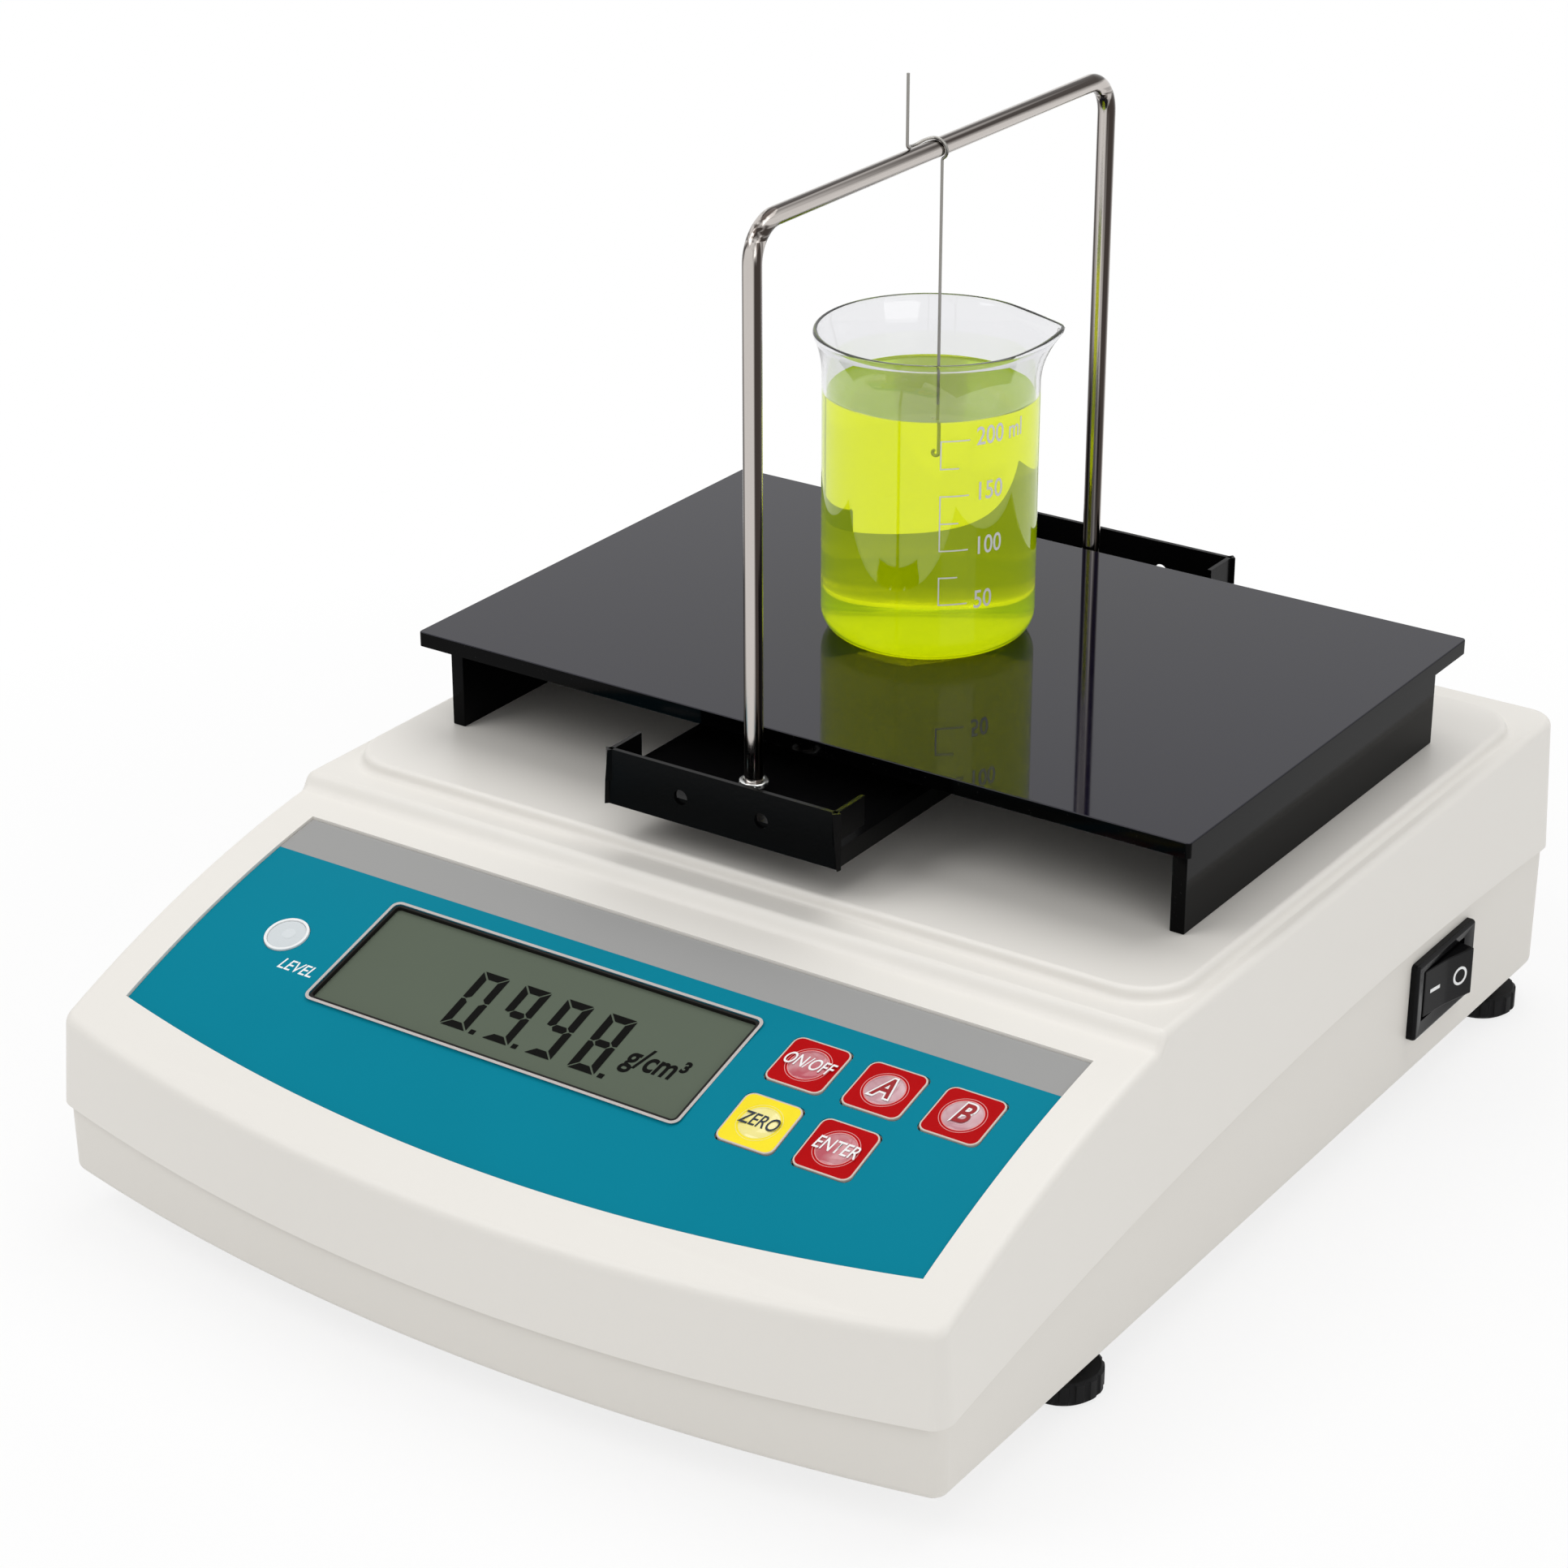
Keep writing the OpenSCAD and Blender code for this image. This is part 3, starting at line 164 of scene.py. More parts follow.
class BeakerSizes(bpy.types.PropertyGroup):
    diameter: length("Diameter", "Outer diameter of the beaker", 0.0704)
    height: length("Height", "Height of the beaker", 0.1025)
    glass: length("Glass", "Thickness of the glass", 0.0014)
    rim: length("Rim", "Radius of the rim", 0.038)
    x: length("X", "Centre of the beaker across the table", -0.008)
    y: length("Y", "Centre of the beaker along the table", 0.0695)
    base: length("Base", "Height of the table's top", 0.1453)
    fill: length("Fill", "Height of the liquid above the table", 0.0822)
    foot: length("Foot curve", "Radius of the beaker's foot", 0.008)
    spout: angle("Spout", "Direction of the spout", 34)
    marks_at: angle("Marks", "Direction of the graduations", -53)
    top_mark: length("Top mark", "Height of the 200 mark above the table", 0.0766)
    mark_step: length("Mark step", "Height between the numbered marks", 0.0184)


class SwitchSizes(bpy.types.PropertyGroup):
    long: length("Length", "Length of the bezel", 0.043)
    high: length("Height", "Height of the bezel", 0.0275)
    x: length("X", "The lower case's side at the switch", 0.1605)
    y: length("Y", "Centre of the switch", 0.119)
    z: length("Z", "Height of the switch's centre", 0.0425)
    lean: angle("Lean", "Lean of the rocker at rest", 12.5)


class Colours(bpy.types.PropertyGroup):
    cover: colour("Cover", "Moulded cover", (0.79, 0.765, 0.72))
    lower: colour("Lower case", "Moulded lower case", (0.745, 0.718, 0.67))
    film: colour("Film", "Printed film", (0.0015, 0.208, 0.298))
    band: colour("Band", "Grey band on the film", (0.338, 0.337, 0.333))
    glass_print: colour("Marks", "Printed marks on the beaker", (0.75, 0.76, 0.76))
    display: colour("Display", "Display's background", (0.104, 0.127, 0.094))
    red: colour("Red keys", "Red keys", (0.43, 0.002, 0.0035))
    yellow: colour("Yellow key", "Yellow key", (0.95, 0.75, 0.03))
    liquid: colour("Liquid", "Liquid in the beaker", (0.9, 0.92, 0.002))
    steel: colour("Steel", "Polished rod", (0.56, 0.52, 0.49))
    backdrop: colour("Backdrop", "Floor and background", (1.0, 1.0, 1.0))


GROUPS = {
    "case_sizes": CaseSizes,
    "panel_sizes": PanelSizes,
    "weighing_sizes": WeighingSizes,
    "table_sizes": TableSizes,
    "beaker_sizes": BeakerSizes,
    "switch_sizes": SwitchSizes,
    "finish_colours": Colours,
}


# ---- Bench work: picking, shaping and finishing ----

def put_down():
    """Back to object mode with nothing selected."""
    if bpy.context.object and bpy.context.object.mode != "OBJECT":
        bpy.ops.object.mode_set(mode="OBJECT")
    bpy.ops.object.select_all(action="DESELECT")


def take(*objs):
    """Selects these objects alone, the first one active."""
    put_down()
    for obj in objs:
        obj.select_set(True)
    bpy.context.view_layer.objects.active = objs[0]


def new(kind, name, **options):
    """Adds a primitive with nothing else selected."""
    put_down()
    getattr(bpy.ops.mesh, "primitive_" + kind + "_add")(**options)
    obj = bpy.context.object
    obj.name = name
    obj.data.name = name
    return obj


def settle(obj):
    """Writes the object's place, turn and scale into its mesh."""
    take(obj)
    bpy.ops.object.transform_apply(location=True, rotation=True, scale=True)
    return obj


def place(obj, matrix):
    obj.matrix_world = matrix @ obj.matrix_world
    return settle(obj)


class Shaping:
    """Edit mode on one object, with faces, edges and points picked by a test."""

    def __init__(self, obj, mode="FACE"):
        self.obj = obj
        self.mode = mode

    def __enter__(self):
        take(self.obj)
        bpy.ops.object.mode_set(mode="EDIT")
        self.by(self.mode)
        bpy.ops.mesh.select_all(action="DESELECT")
        return self

    def __exit__(self, *problem):
        bpy.ops.object.mode_set(mode="OBJECT")

    def by(self, mode):
        self.mode = mode
        bpy.ops.mesh.select_mode(type=mode)

    def all(self):
        bpy.ops.mesh.select_all(action="SELECT")

    def face_out(self):
        """Turns every face outward."""
        self.all()
        bpy.ops.mesh.normals_make_consistent(inside=False)

    def pick(self, test):
        """Selects what passes the test, and returns how many that is."""
        mesh = bmesh.from_edit_mesh(self.obj.data)
        parts = {"FACE": mesh.faces, "EDGE": mesh.edges, "VERT": mesh.verts}[self.mode]
        for vert in mesh.verts:
            vert.select = False
        for edge in mesh.edges:
            edge.select = False
        for face in mesh.faces:
            face.select = False
        mesh.normal_update()
        chosen = [part for part in parts if test(part)]
        for part in chosen:
            part.select_set(True)
        mesh.select_flush_mode()
        bmesh.update_edit_mesh(self.obj.data)
        return len(chosen)

    def move(self, rule):
        """Gives every point the place that the rule works out."""
        mesh = bmesh.from_edit_mesh(self.obj.data)
        for vert in mesh.verts:
            vert.co = rule(vert.co.copy())
        bmesh.update_edit_mesh(self.obj.data)


def modify(obj, kind, **settings):
    """Adds a modifier, sets it and applies it."""
    take(obj)
    bpy.ops.object.modifier_add(type=kind)
    modifier = obj.modifiers[-1]
    for name, value in settings.items():
        setattr(modifier, name, value)
    bpy.ops.object.modifier_apply(modifier=modifier.name)
    return obj


def join(name, *objs):
    take(*objs)
    if len(objs) > 1:
        bpy.ops.object.join()
    obj = bpy.context.object
    obj.name = name
    obj.data.name = name
    return obj


def combine(obj, operation, others):
    for other in others:
        modify(obj, "BOOLEAN", operation=operation, solver="EXACT", object=other)
        bpy.data.objects.remove(other)
    return obj


def cut(obj, *cutters):
    """Takes the cutters' volume out of the object."""
    return combine(obj, "DIFFERENCE", cutters)


def unite(obj, *others):
    """Adds the others' volume to the object."""
    return combine(obj, "UNION", others)


def soften(obj, width, segments=2, angle=35):
    """Rounds the edges that are sharper than the angle."""
    return modify(obj, "BEVEL", width=width, segments=segments, limit_method="ANGLE", angle_limit=math.radians(angle),
                  use_clamp_overlap=True, harden_normals=False, miter_outer="MITER_ARC")


def shade(obj, angle=32):
    take(obj)
    bpy.ops.object.shade_smooth_by_angle(angle=math.radians(angle))
    return modify(obj, "WEIGHTED_NORMAL", mode="FACE_AREA", weight=50, keep_sharp=True)


def block(name, low, high, edge=0.0004, segments=2):
    """A box from corner to corner with all its edges rounded."""
    low, high = Vector(low), Vector(high)
    obj = new("cube", name, size=1, location=(low + high) / 2)
    obj.scale = high - low
    settle(obj)
    with Shaping(obj, "EDGE") as work:
        work.all()
        bpy.ops.mesh.bevel(offset=edge, segments=segments, affect="EDGES")
    return obj


def rounded(name, width, depth, low, high, corner, edge=0.0, steps=6):
    """An upright plate with rounded corners in plan, about the Z axis."""
    obj = new("plane", name, size=1, location=(0, 0, low))
    obj.scale = (width, depth, 1)
    settle(obj)
    with Shaping(obj, "VERT") as work:
        work.all()
        bpy.ops.mesh.bevel(offset=corner, segments=steps, affect="VERTICES")
        work.by("FACE")
        work.all()
        bpy.ops.mesh.extrude_region_move(TRANSFORM_OT_translate={"value": (0, 0, high - low)})
        if edge:
            work.by("EDGE")
            work.pick(lambda e: min(v.co.z for v in e.verts) > high - 1e-6)
            bpy.ops.mesh.bevel(offset=edge, segments=3, affect="EDGES")
        work.by("FACE")
        work.face_out()
    return obj


def turned(name, profile, steps=64, closed=True):
    """A round piece about the Z axis, raised ring by ring from its (radius, height) profile."""
    r, z = profile[0]
    obj = new("circle", name, vertices=steps, radius=r, fill_type="NGON" if closed else "NOTHING", location=(0, 0, z))
    settle(obj)
    with Shaping(obj, "FACE" if closed else "EDGE") as work:
        work.all()
        for r2, z2 in profile[1:]:
            bpy.ops.mesh.extrude_region_move(TRANSFORM_OT_translate={"value": (0, 0, z2 - z)})
            if abs(r2 - r) > 1e-9:
                bpy.ops.transform.resize(value=(r2 / r, r2 / r, 1), center_override=(0, 0, z2))
            r, z = r2, z2
        work.by("FACE")
        work.face_out()
    return obj


def washer(name, profile, steps=48):
    """A ring about the Z axis, with a closed profile."""
    ring = turned(name, [*profile, profile[0]], steps, False)
    with Shaping(ring, "VERT") as work:
        work.all()
        bpy.ops.mesh.remove_doubles(threshold=1e-6)
        work.face_out()
    return ring


def bent(name, points, diameter, steps=24):
    """A round bar or wire that follows the points."""
    put_down()
    line = bpy.data.curves.new(name, "CURVE")
    line.dimensions = "3D"
    line.bevel_depth = diameter / 2
    line.bevel_resolution = steps // 4
    line.use_fill_caps = True
    run = line.splines.new("POLY")
    run.points.add(len(points) - 1)
    for spot, point in zip(run.points, points):
        spot.co = (*point, 1)
    obj = bpy.data.objects.new(name, line)
    bpy.context.scene.collection.objects.link(obj)
    take(obj)
    bpy.ops.object.convert(target="MESH")
    obj = bpy.context.object
    obj.data.name = name
    return obj


def lettering(name, words, size, thick=0.00004, lean=0.0, align="CENTER", narrow=1.0, bold=0.0):
    """Words as a thin mesh, flat in the XY plane about the origin."""
    put_down()
    bpy.ops.object.text_add(location=(0, 0, 0))
    obj = bpy.context.object
    obj.name = name
    text = obj.data
    text.body = words
    text.size = size
    text.extrude = thick / 2
    text.shear = lean
    text.align_x = align
    text.align_y = "CENTER"
    text.offset = bold
    bpy.ops.object.convert(target="MESH")
    obj = bpy.context.object
    obj.data.name = name
    obj.scale.x = narrow
    return settle(obj)


def flat_shape(name, points, thick, low=0.0):
    """A thin plate with this outline in the XY plane."""
    put_down()
    mesh = bpy.data.meshes.new(name)
    mesh.from_pydata([(x, y, low) for x, y in points], [], [list(range(len(points)))])
    obj = bpy.data.objects.new(name, mesh)
    bpy.context.scene.collection.objects.link(obj)
    with Shaping(obj, "FACE") as work:
        work.all()
        bpy.ops.mesh.extrude_region_move(TRANSFORM_OT_translate={"value": (0, 0, thick)})
        work.face_out()
    return obj


def finish_piece(obj, body, materials, stands_for=()):
    """Paints a piece, lets it ride on its body and hides the nodes that it stands for."""
    if materials is not None:
        obj.data.materials.clear()
        for material in materials if isinstance(materials, (list, tuple)) else [materials]:
            obj.data.materials.append(material)
    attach(obj, body)
    if stands_for:
        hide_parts(*stands_for)
    return obj


# ---- Materials ----

class Value:
    """A shader socket that takes part in sums."""

    def __init__(self, recipe, socket):
        self.recipe = recipe
        self.socket = socket

    def sum(self, operation, *others):
        values = {place: value for place, value in enumerate((self,) + others)}
        return self.recipe.add("ShaderNodeMath", {"operation": operation}, values)[0]

    def __add__(self, other):
        return self.sum("ADD", other)

    __radd__ = __add__

    def __sub__(self, other):
        return self.sum("SUBTRACT", other)

    def __rsub__(self, other):
        return self.recipe.number(other, "SUBTRACT", self)

    def __mul__(self, other):
        return self.sum("MULTIPLY", other)

    __rmul__ = __mul__

    def __gt__(self, other):
        return self.sum("GREATER_THAN", other)

    def limited(self):
        return self.sum("MAXIMUM", 0.0).sum("MINIMUM", 1.0)


class Outputs:
    """A node's outputs, by name or place."""

    def __init__(self, recipe, node):
        self.recipe = recipe
        self.node = node

    def __getitem__(self, key):
        return Value(self.recipe, self.node.outputs[key])


class Recipe:
    """A material and the nodes that make its finish."""

    def __init__(self, name):
        self.material = bpy.data.materials.new(name)
        self.material.use_nodes = True
        self.tree = self.material.node_tree
        self.tree.nodes.clear()

    def add(self, kind, settings=None, inputs=None):
        """Adds a node. Settings go first, then the values or links of its sockets."""
        node = self.tree.nodes.new(kind)
        for name, value in (settings or {}).items():
            setattr(node, name, value)
        for key, value in (inputs or {}).items():
            if isinstance(value, Value):
                self.tree.links.new(value.socket, node.inputs[key])
            else:
                node.inputs[key].default_value = value
        return Outputs(self, node)

    def number(self, value, operation, other):
        return self.add("ShaderNodeMath", {"operation": operation}, {0: value, 1: other})[0]

    def place(self, scale=(1, 1, 1), turn=(0, 0, 0)):
        """Object coordinates, in metres, through a Mapping node."""
        coords = self.add("ShaderNodeTexCoord")["Object"]
        return self.add("ShaderNodeMapping", None, {"Vector": coords, "Scale": scale, "Rotation": turn})["Vector"]

    def axes(self):
        split = self.add("ShaderNodeSeparateXYZ", None, {0: self.add("ShaderNodeTexCoord")["Object"]})
        return split["X"], split["Y"], split["Z"]

    def noise(self, scale, detail=3.0, roughness=0.5, vector=None):
        inputs = {"Scale": scale, "Detail": detail, "Roughness": roughness}
        inputs["Vector"] = vector if vector is not None else self.place()
        return self.add("ShaderNodeTexNoise", None, inputs)["Fac"]

    def blend(self, share, first, second):
        """Colours mixed by a share from 0 to 1."""
        return self.add("ShaderNodeMix", {"data_type": "RGBA"}, {0: share, 6: first, 7: second})[2]

    def bump(self, height, distance):
        return self.add("ShaderNodeBump", None, {"Height": height, "Distance": distance, "Strength": 1.0})["Normal"]

    def surface(self, **inputs):
        shader = self.add("ShaderNodeBsdfPrincipled", None, {key.replace("_", " "): value for key, value in inputs.items()})
        self.add("ShaderNodeOutputMaterial", None, {"Surface": shader["BSDF"]})
        return self.material


def rgb(values, factor=1.0):
    return (*[min(1.0, v * factor) for v in values], 1.0)


def moulded_plastic(name, base, rough=0.42, grain=0.000012):
    """Satin moulding with a fine spark-eroded grain."""
    r = Recipe(name)
    cloud = r.noise(9.0, 2.0)
    tint = r.blend(cloud, rgb(base, 0.985), rgb(base, 1.015))
    fine = r.noise(2600.0, 2.0)
    return r.surface(Base_Color=tint, Roughness=rough + (fine - 0.5) * 0.12, Normal=r.bump(fine, grain), IOR=1.46)


def printed_film(name, film, band, edge_y):
    """Satin film, printed in two colours, with a faint orange-peel surface."""
    r = Recipe(name)
    y = r.axes()[1]
    cloud = r.noise(14.0, 2.0)
    lower = r.blend(cloud, rgb(film, 0.95), rgb(film, 1.06))
    upper = r.blend(cloud, rgb(band, 0.985), rgb(band, 1.015))
    back = ((y - edge_y) * 20000.0).limited()
    peel = r.noise(900.0, 2.0)
    return r.surface(Base_Color=r.blend(back, lower, upper), Roughness=0.4 + (peel - 0.5) * 0.08,
                     Normal=r.bump(peel, 0.000006), IOR=1.5, Specular_IOR_Level=0.03)


def soft_rubber(name, base, rough=0.5, grain=0.00002, scale=1400.0, gloss=0.09):
    r = Recipe(name)
    fine = r.noise(scale, 3.0)
    tint = r.blend(r.noise(60.0), rgb(base, 0.9), rgb(base, 1.12))
    return r.surface(Base_Color=tint, Roughness=rough + (fine - 0.5) * 0.1, Normal=r.bump(fine, grain), IOR=1.5,
                     Specular_IOR_Level=gloss)


def polished_sheet(name, base, rough=0.05, gloss=0.5):
    """Polished black acrylic with a trace of dust and wipe marks."""
    r = Recipe(name)
    wipe = r.noise(30.0, 4.0, 0.6, r.place(scale=(1.0, 4.0, 1.0), turn=(0, 0, 0.5)))
    dust = (r.noise(1500.0, 1.0) > 0.74)
    tint = r.blend(dust * 0.08, rgb(base), (0.12, 0.12, 0.12, 1))
    return r.surface(Base_Color=tint, Roughness=rough + wipe * 0.05, IOR=1.49, Specular_IOR_Level=gloss)


def powder_coat(name, base, rough=0.32):
    r = Recipe(name)
    peel = r.noise(700.0, 2.0)
    fine = r.noise(2600.0, 1.0)
    tint = r.blend(r.noise(40.0), rgb(base, 0.92), rgb(base, 1.1))
    return r.surface(Base_Color=tint, Roughness=rough + (fine - 0.5) * 0.12, Normal=r.bump(peel, 0.00002), IOR=1.52,
                     Specular_IOR_Level=0.07)


def bright_metal(name, base, rough=0.16, along=(1, 1, 0.04), grain=0.000004):
    """Drawn or turned metal, with fine lines along one direction."""
    r = Recipe(name)
    lines = r.noise(2200.0, 3.0, 0.6, r.place(scale=along))
    tint = r.blend(r.noise(35.0), rgb(base, 0.94), rgb(base, 1.05))
    return r.surface(Base_Color=tint, Metallic=1.0, Roughness=rough + (lines - 0.5) * 0.14, Normal=r.bump(lines, grain))


def drawn_rod(name, base, reflection_dark, bar_low):
    """Polished steel rod: long dark streaks along it, painted reflections of the dark surroundings, with fine drawing
    lines between them.
    """
    r = Recipe(name)
    flat = r.axes()[2] > bar_low
    upright = 1.0 - flat

    def streaks(scale, detail, roughness, draw):
        standing = r.noise(scale, detail, roughness, r.place(scale=(1, 1, draw)))
        lying = r.noise(scale, detail, roughness, r.place(scale=(1, draw, 1)))
        return standing * upright + lying * flat

    reflection_streaks = streaks(420.0, 2.0, 0.5, 0.004)
    lines = streaks(2600.0, 3.0, 0.6, 0.02)
    # Painted reflection: the rod's colour runs dark along the long streaks
    tint = r.blend(((reflection_streaks - 0.43) * 7.0).limited(), rgb(reflection_dark), rgb(base))
    return r.surface(Base_Color=tint, Metallic=1.0, Roughness=0.15 + (lines - 0.5) * 0.12, Normal=r.bump(lines, 0.000004))


def clear_glass(name, tint=(0.84, 0.842, 0.858), ior=1.47):
    r = Recipe(name)
    smear = r.noise(45.0, 3.0)
    return r.surface(Base_Color=(*tint, 1), Roughness=(smear - 0.35).limited() * 0.05, IOR=ior, Transmission_Weight=1.0)


def tinted_liquid(name, base):
    r = Recipe(name)
    still = r.noise(60.0, 1.0)
    # Painted light: the liquid glows faintly, an emission that stands in for light passing through it
    glow = r.blend(still, (base[0] * 0.6, base[1] * 0.9, 0.0, 1), (base[0] * 0.64, base[1] * 0.94, 0.0, 1))
    body = r.blend(still, rgb(base, 0.99), rgb(base, 1.01))
    return r.surface(Base_Color=body, Roughness=0.0, IOR=1.34, Transmission_Weight=0.93, Emission_Color=glow,
                     Emission_Strength=0.14)


def ink(name, base, rough=0.45, gloss=0.25):
    r = Recipe(name)
    fine = r.noise(2500.0, 2.0)
    return r.surface(Base_Color=r.blend(fine, rgb(base, 0.95), rgb(base, 1.04)), Roughness=rough + (fine - 0.5) * 0.1,
                     Normal=r.bump(fine, 0.000004), Specular_IOR_Level=gloss)


def dome_painted_highlight(name, base):
    """A key's colour under a clear raised dome, paled in patches as painted highlight for the dome's reflections."""
    r = Recipe(name)
    cloud = r.noise(160.0, 2.0)
    # pale is the painted highlight colour, and cloud picks the patches where it shows
    pale = tuple(v + (0.9 - v) * 0.22 for v in base)
    return r.surface(Base_Color=r.blend(((cloud - 0.4) * 3.0).limited(), rgb(base), rgb(pale)), Roughness=0.08, IOR=1.5,
                     Coat_Weight=cloud * 0.4, Coat_Roughness=0.05)


def display_face(name, base):
    """The dull reflector behind the display's liquid crystal."""
    r = Recipe(name)
    fine = r.noise(3200.0, 2.0)
    tint = r.blend(r.noise(20.0), rgb(base, 0.96), rgb(base, 1.05))
    return r.surface(Base_Color=tint, Roughness=0.3 + (fine - 0.5) * 0.1, Normal=r.bump(fine, 0.000002), IOR=1.5,
                     Specular_IOR_Level=0.04)


def board_laminate(name):
    r = Recipe(name)
    weave = r.noise(500.0, 2.0)
    green = r.blend(weave, (0.012, 0.1, 0.04, 1), (0.02, 0.15, 0.06, 1))
    return r.surface(Base_Color=green, Roughness=0.35, Normal=r.bump(weave, 0.00001))


PAINT = {}


def paint(name, maker=None, *details):
    """One material for each name, made the first time that it is asked for."""
    if name not in PAINT:
        PAINT[name] = maker(name, *details)
    return PAINT[name]


def white_print():
    return paint("white_print", ink, (0.86, 0.87, 0.87), 0.4)


def tray_coat():
    return paint("tray_coat", powder_coat, (0.0022, 0.0022, 0.0024), 0.2)


# ---- Shapes that several pieces follow ----

def quarter(steps):
    """Angles of a quarter turn, in equal steps."""
    return [math.pi / 2 * k / steps for k in range(steps + 1)]


class PanelCurve:
    """The panel's arc, and places on it by distance from the ridge."""

    def __init__(self, scene):
        case, panel = scene.case_sizes, scene.panel_sizes
        self.case, self.panel = case, panel
        self.y0 = case.ridge - case.step_run
        self.cy = self.y0 + panel.radius * math.sin(panel.lead)
        self.cz = case.deck - case.ridge_step - panel.radius * math.cos(panel.lead)

    def lean(self, t):
        return self.panel.lead + t / self.panel.radius

    def y(self, t):
        return self.cy - self.panel.radius * math.sin(self.lean(t))

    def height(self, y, depth=0.0):
        return self.cz + math.sqrt((self.panel.radius - depth) ** 2 - (y - self.cy) ** 2)

    def at(self, x, t, lift=0.0):
        """The place at x and t, square to the panel."""
        y = self.y(t)
        spot, lifted = Matrix.Translation((x, y, self.height(y))), Matrix.Translation((0, 0, lift))
        return spot @ Matrix.Rotation(self.lean(t), 4, "X") @ lifted

    def cover(self, y):
        """Height of the cover's top along its depth."""
        case = self.case
        if y >= case.ridge:
            return case.deck
        if y <= case.lip:
            return self.height(case.lip) + case.lip_slope * (y - case.lip)
        if y <= self.y0:
            return self.height(y)
        foot = self.height(self.y0)
        return foot + (case.deck - foot) * (y - self.y0) / case.step_run

    def sheet(self, name, grow, depth, across=48, along=56):
        """A sheet with the printed film's outline, grown by an amount, at a depth below the panel's face."""
        panel = self.panel
        half = panel.half_width + grow
        back = self.y(panel.start) + grow
        corner = self.y(panel.corner) - grow
        round_r = (panel.half_width ** 2 + panel.bow ** 2) / (2 * panel.bow)

        def laid(co):
            x = co.x * half
            front = corner + (round_r - panel.bow) - math.sqrt(round_r * round_r - x * x)
            y = back + (front - back) * (1 - co.y) / 2
            return Vector((x, y, self.height(y, depth)))

        obj = new("grid", name, x_subdivisions=across, y_subdivisions=along, size=2)
        with Shaping(obj) as work:
            work.move(laid)
        return obj


def parting(case, y):
    return case.part_top - (y - case.part_middle) ** 2 / (2 * case.part_radius)


def case_plan(name, case, inset, z):
    """Plan of the case as one flat face: straight back and sides, bowed front, rounded corners."""
    half, tip = case.width / 2 - inset, case.depth / 2 - inset
    bow_r = (case.width ** 2 / 4 + case.bow ** 2) / (2 * case.bow)
    bow_y = bow_r - case.depth / 2
    bow_r -= inset
    corner_y = bow_y - math.sqrt(bow_r ** 2 - half ** 2)
    back_r, front_r = max(case.back_corner - inset, 0.0042), max(case.front_corner - inset, 0.0042)
    obj = new("plane", name, size=1, location=(0, (tip + corner_y) / 2, z))
    obj.scale = (2 * half, tip - corner_y, 1)
    settle(obj)
    with Shaping(obj, "VERT") as work:
        work.pick(lambda v: v.co.y > 0)
        bpy.ops.mesh.bevel(offset=back_r, segments=10, affect="VERTICES")
        work.pick(lambda v: v.co.y < corner_y + 1e-6)
        bpy.ops.mesh.bevel(offset=front_r, segments=6, affect="VERTICES")
        work.by("EDGE")
        work.pick(lambda e: max(v.co.y for v in e.verts) < corner_y + 1e-6 and abs(e.verts[0].co.x - e.verts[1].co.x) > half)
        bpy.ops.mesh.subdivide(number_cuts=63)

        def bowed(co):
            if co.y < corner_y + front_r + 1e-6:
                co.y += bow_y - math.sqrt(bow_r ** 2 - co.x ** 2) - corner_y
            return co

        work.move(bowed)
    return obj


def case_solid(name, case, insets, heights, stations):
    """A closed solid on the case's plan.

    Each further inset is one level, and heights gives each level's z along the depth.
    """
    obj = case_plan(name, case, insets[0], 0.0)
    with Shaping(obj) as work:
        work.all()
        for level in range(1, len(insets)):
            bpy.ops.mesh.inset(thickness=insets[level] - insets[level - 1], depth=0)
            bpy.ops.transform.translate(value=(0, 0, 1))
        work.by("EDGE")
        work.pick(lambda e: len(e.link_faces) == 1)
        bpy.ops.mesh.edge_face_add()
        work.by("FACE")
        for y in stations:
            work.all()
            bpy.ops.mesh.bisect(plane_co=(0, y, 0), plane_no=(0, 1, 0))

        def raised(co):
            level = min(int(co.z + 1e-5), len(insets) - 2)
            share = min(max(co.z - level, 0.0), 1.0)
            return Vector((co.x, co.y, heights(level, co.y) * (1 - share) + heights(level + 1, co.y) * share))

        work.move(raised)
        work.face_out()
    return obj


def along_panel(case):
    """Where the cover's top is cut across, closer together at the ridge."""
    stations = [case.ridge + 0.002 - 0.0005 * k for k in range(15)]
    stations += [-0.0775 - 0.005 * k for k in range(23)] + [-0.1885 - 0.0005 * k for k in range(4)]
    return stations + [-0.1945, -0.199, -0.203] + [-0.04 + 0.03 * k for k in range(8)]


# ---- Case ----

def panel_cutters(curve, reach, level_r, level_steps):
    """Cutters for the display window, the level and the keys, set square to the panel."""
    panel = curve.panel
    window = rounded("window_cut", panel.window_w, panel.window_h, -reach, 0.005, 0.0022)
    level = turned("level_cut", [(level_r, -reach), (level_r, 0.005)], level_steps)
    cutters = [place(window, curve.at(panel.window_x, panel.window_t)), place(level, curve.at(panel.level_x, panel.level_t))]
    key_hole = panel.key_w + 0.0006
    for column, row in KEY_PLACES.values():
        cutters.append(place(rounded("key_cut", key_hole, key_hole, -reach, 0.005, 0.0025), key_place(curve, column, row)))
    return cutters


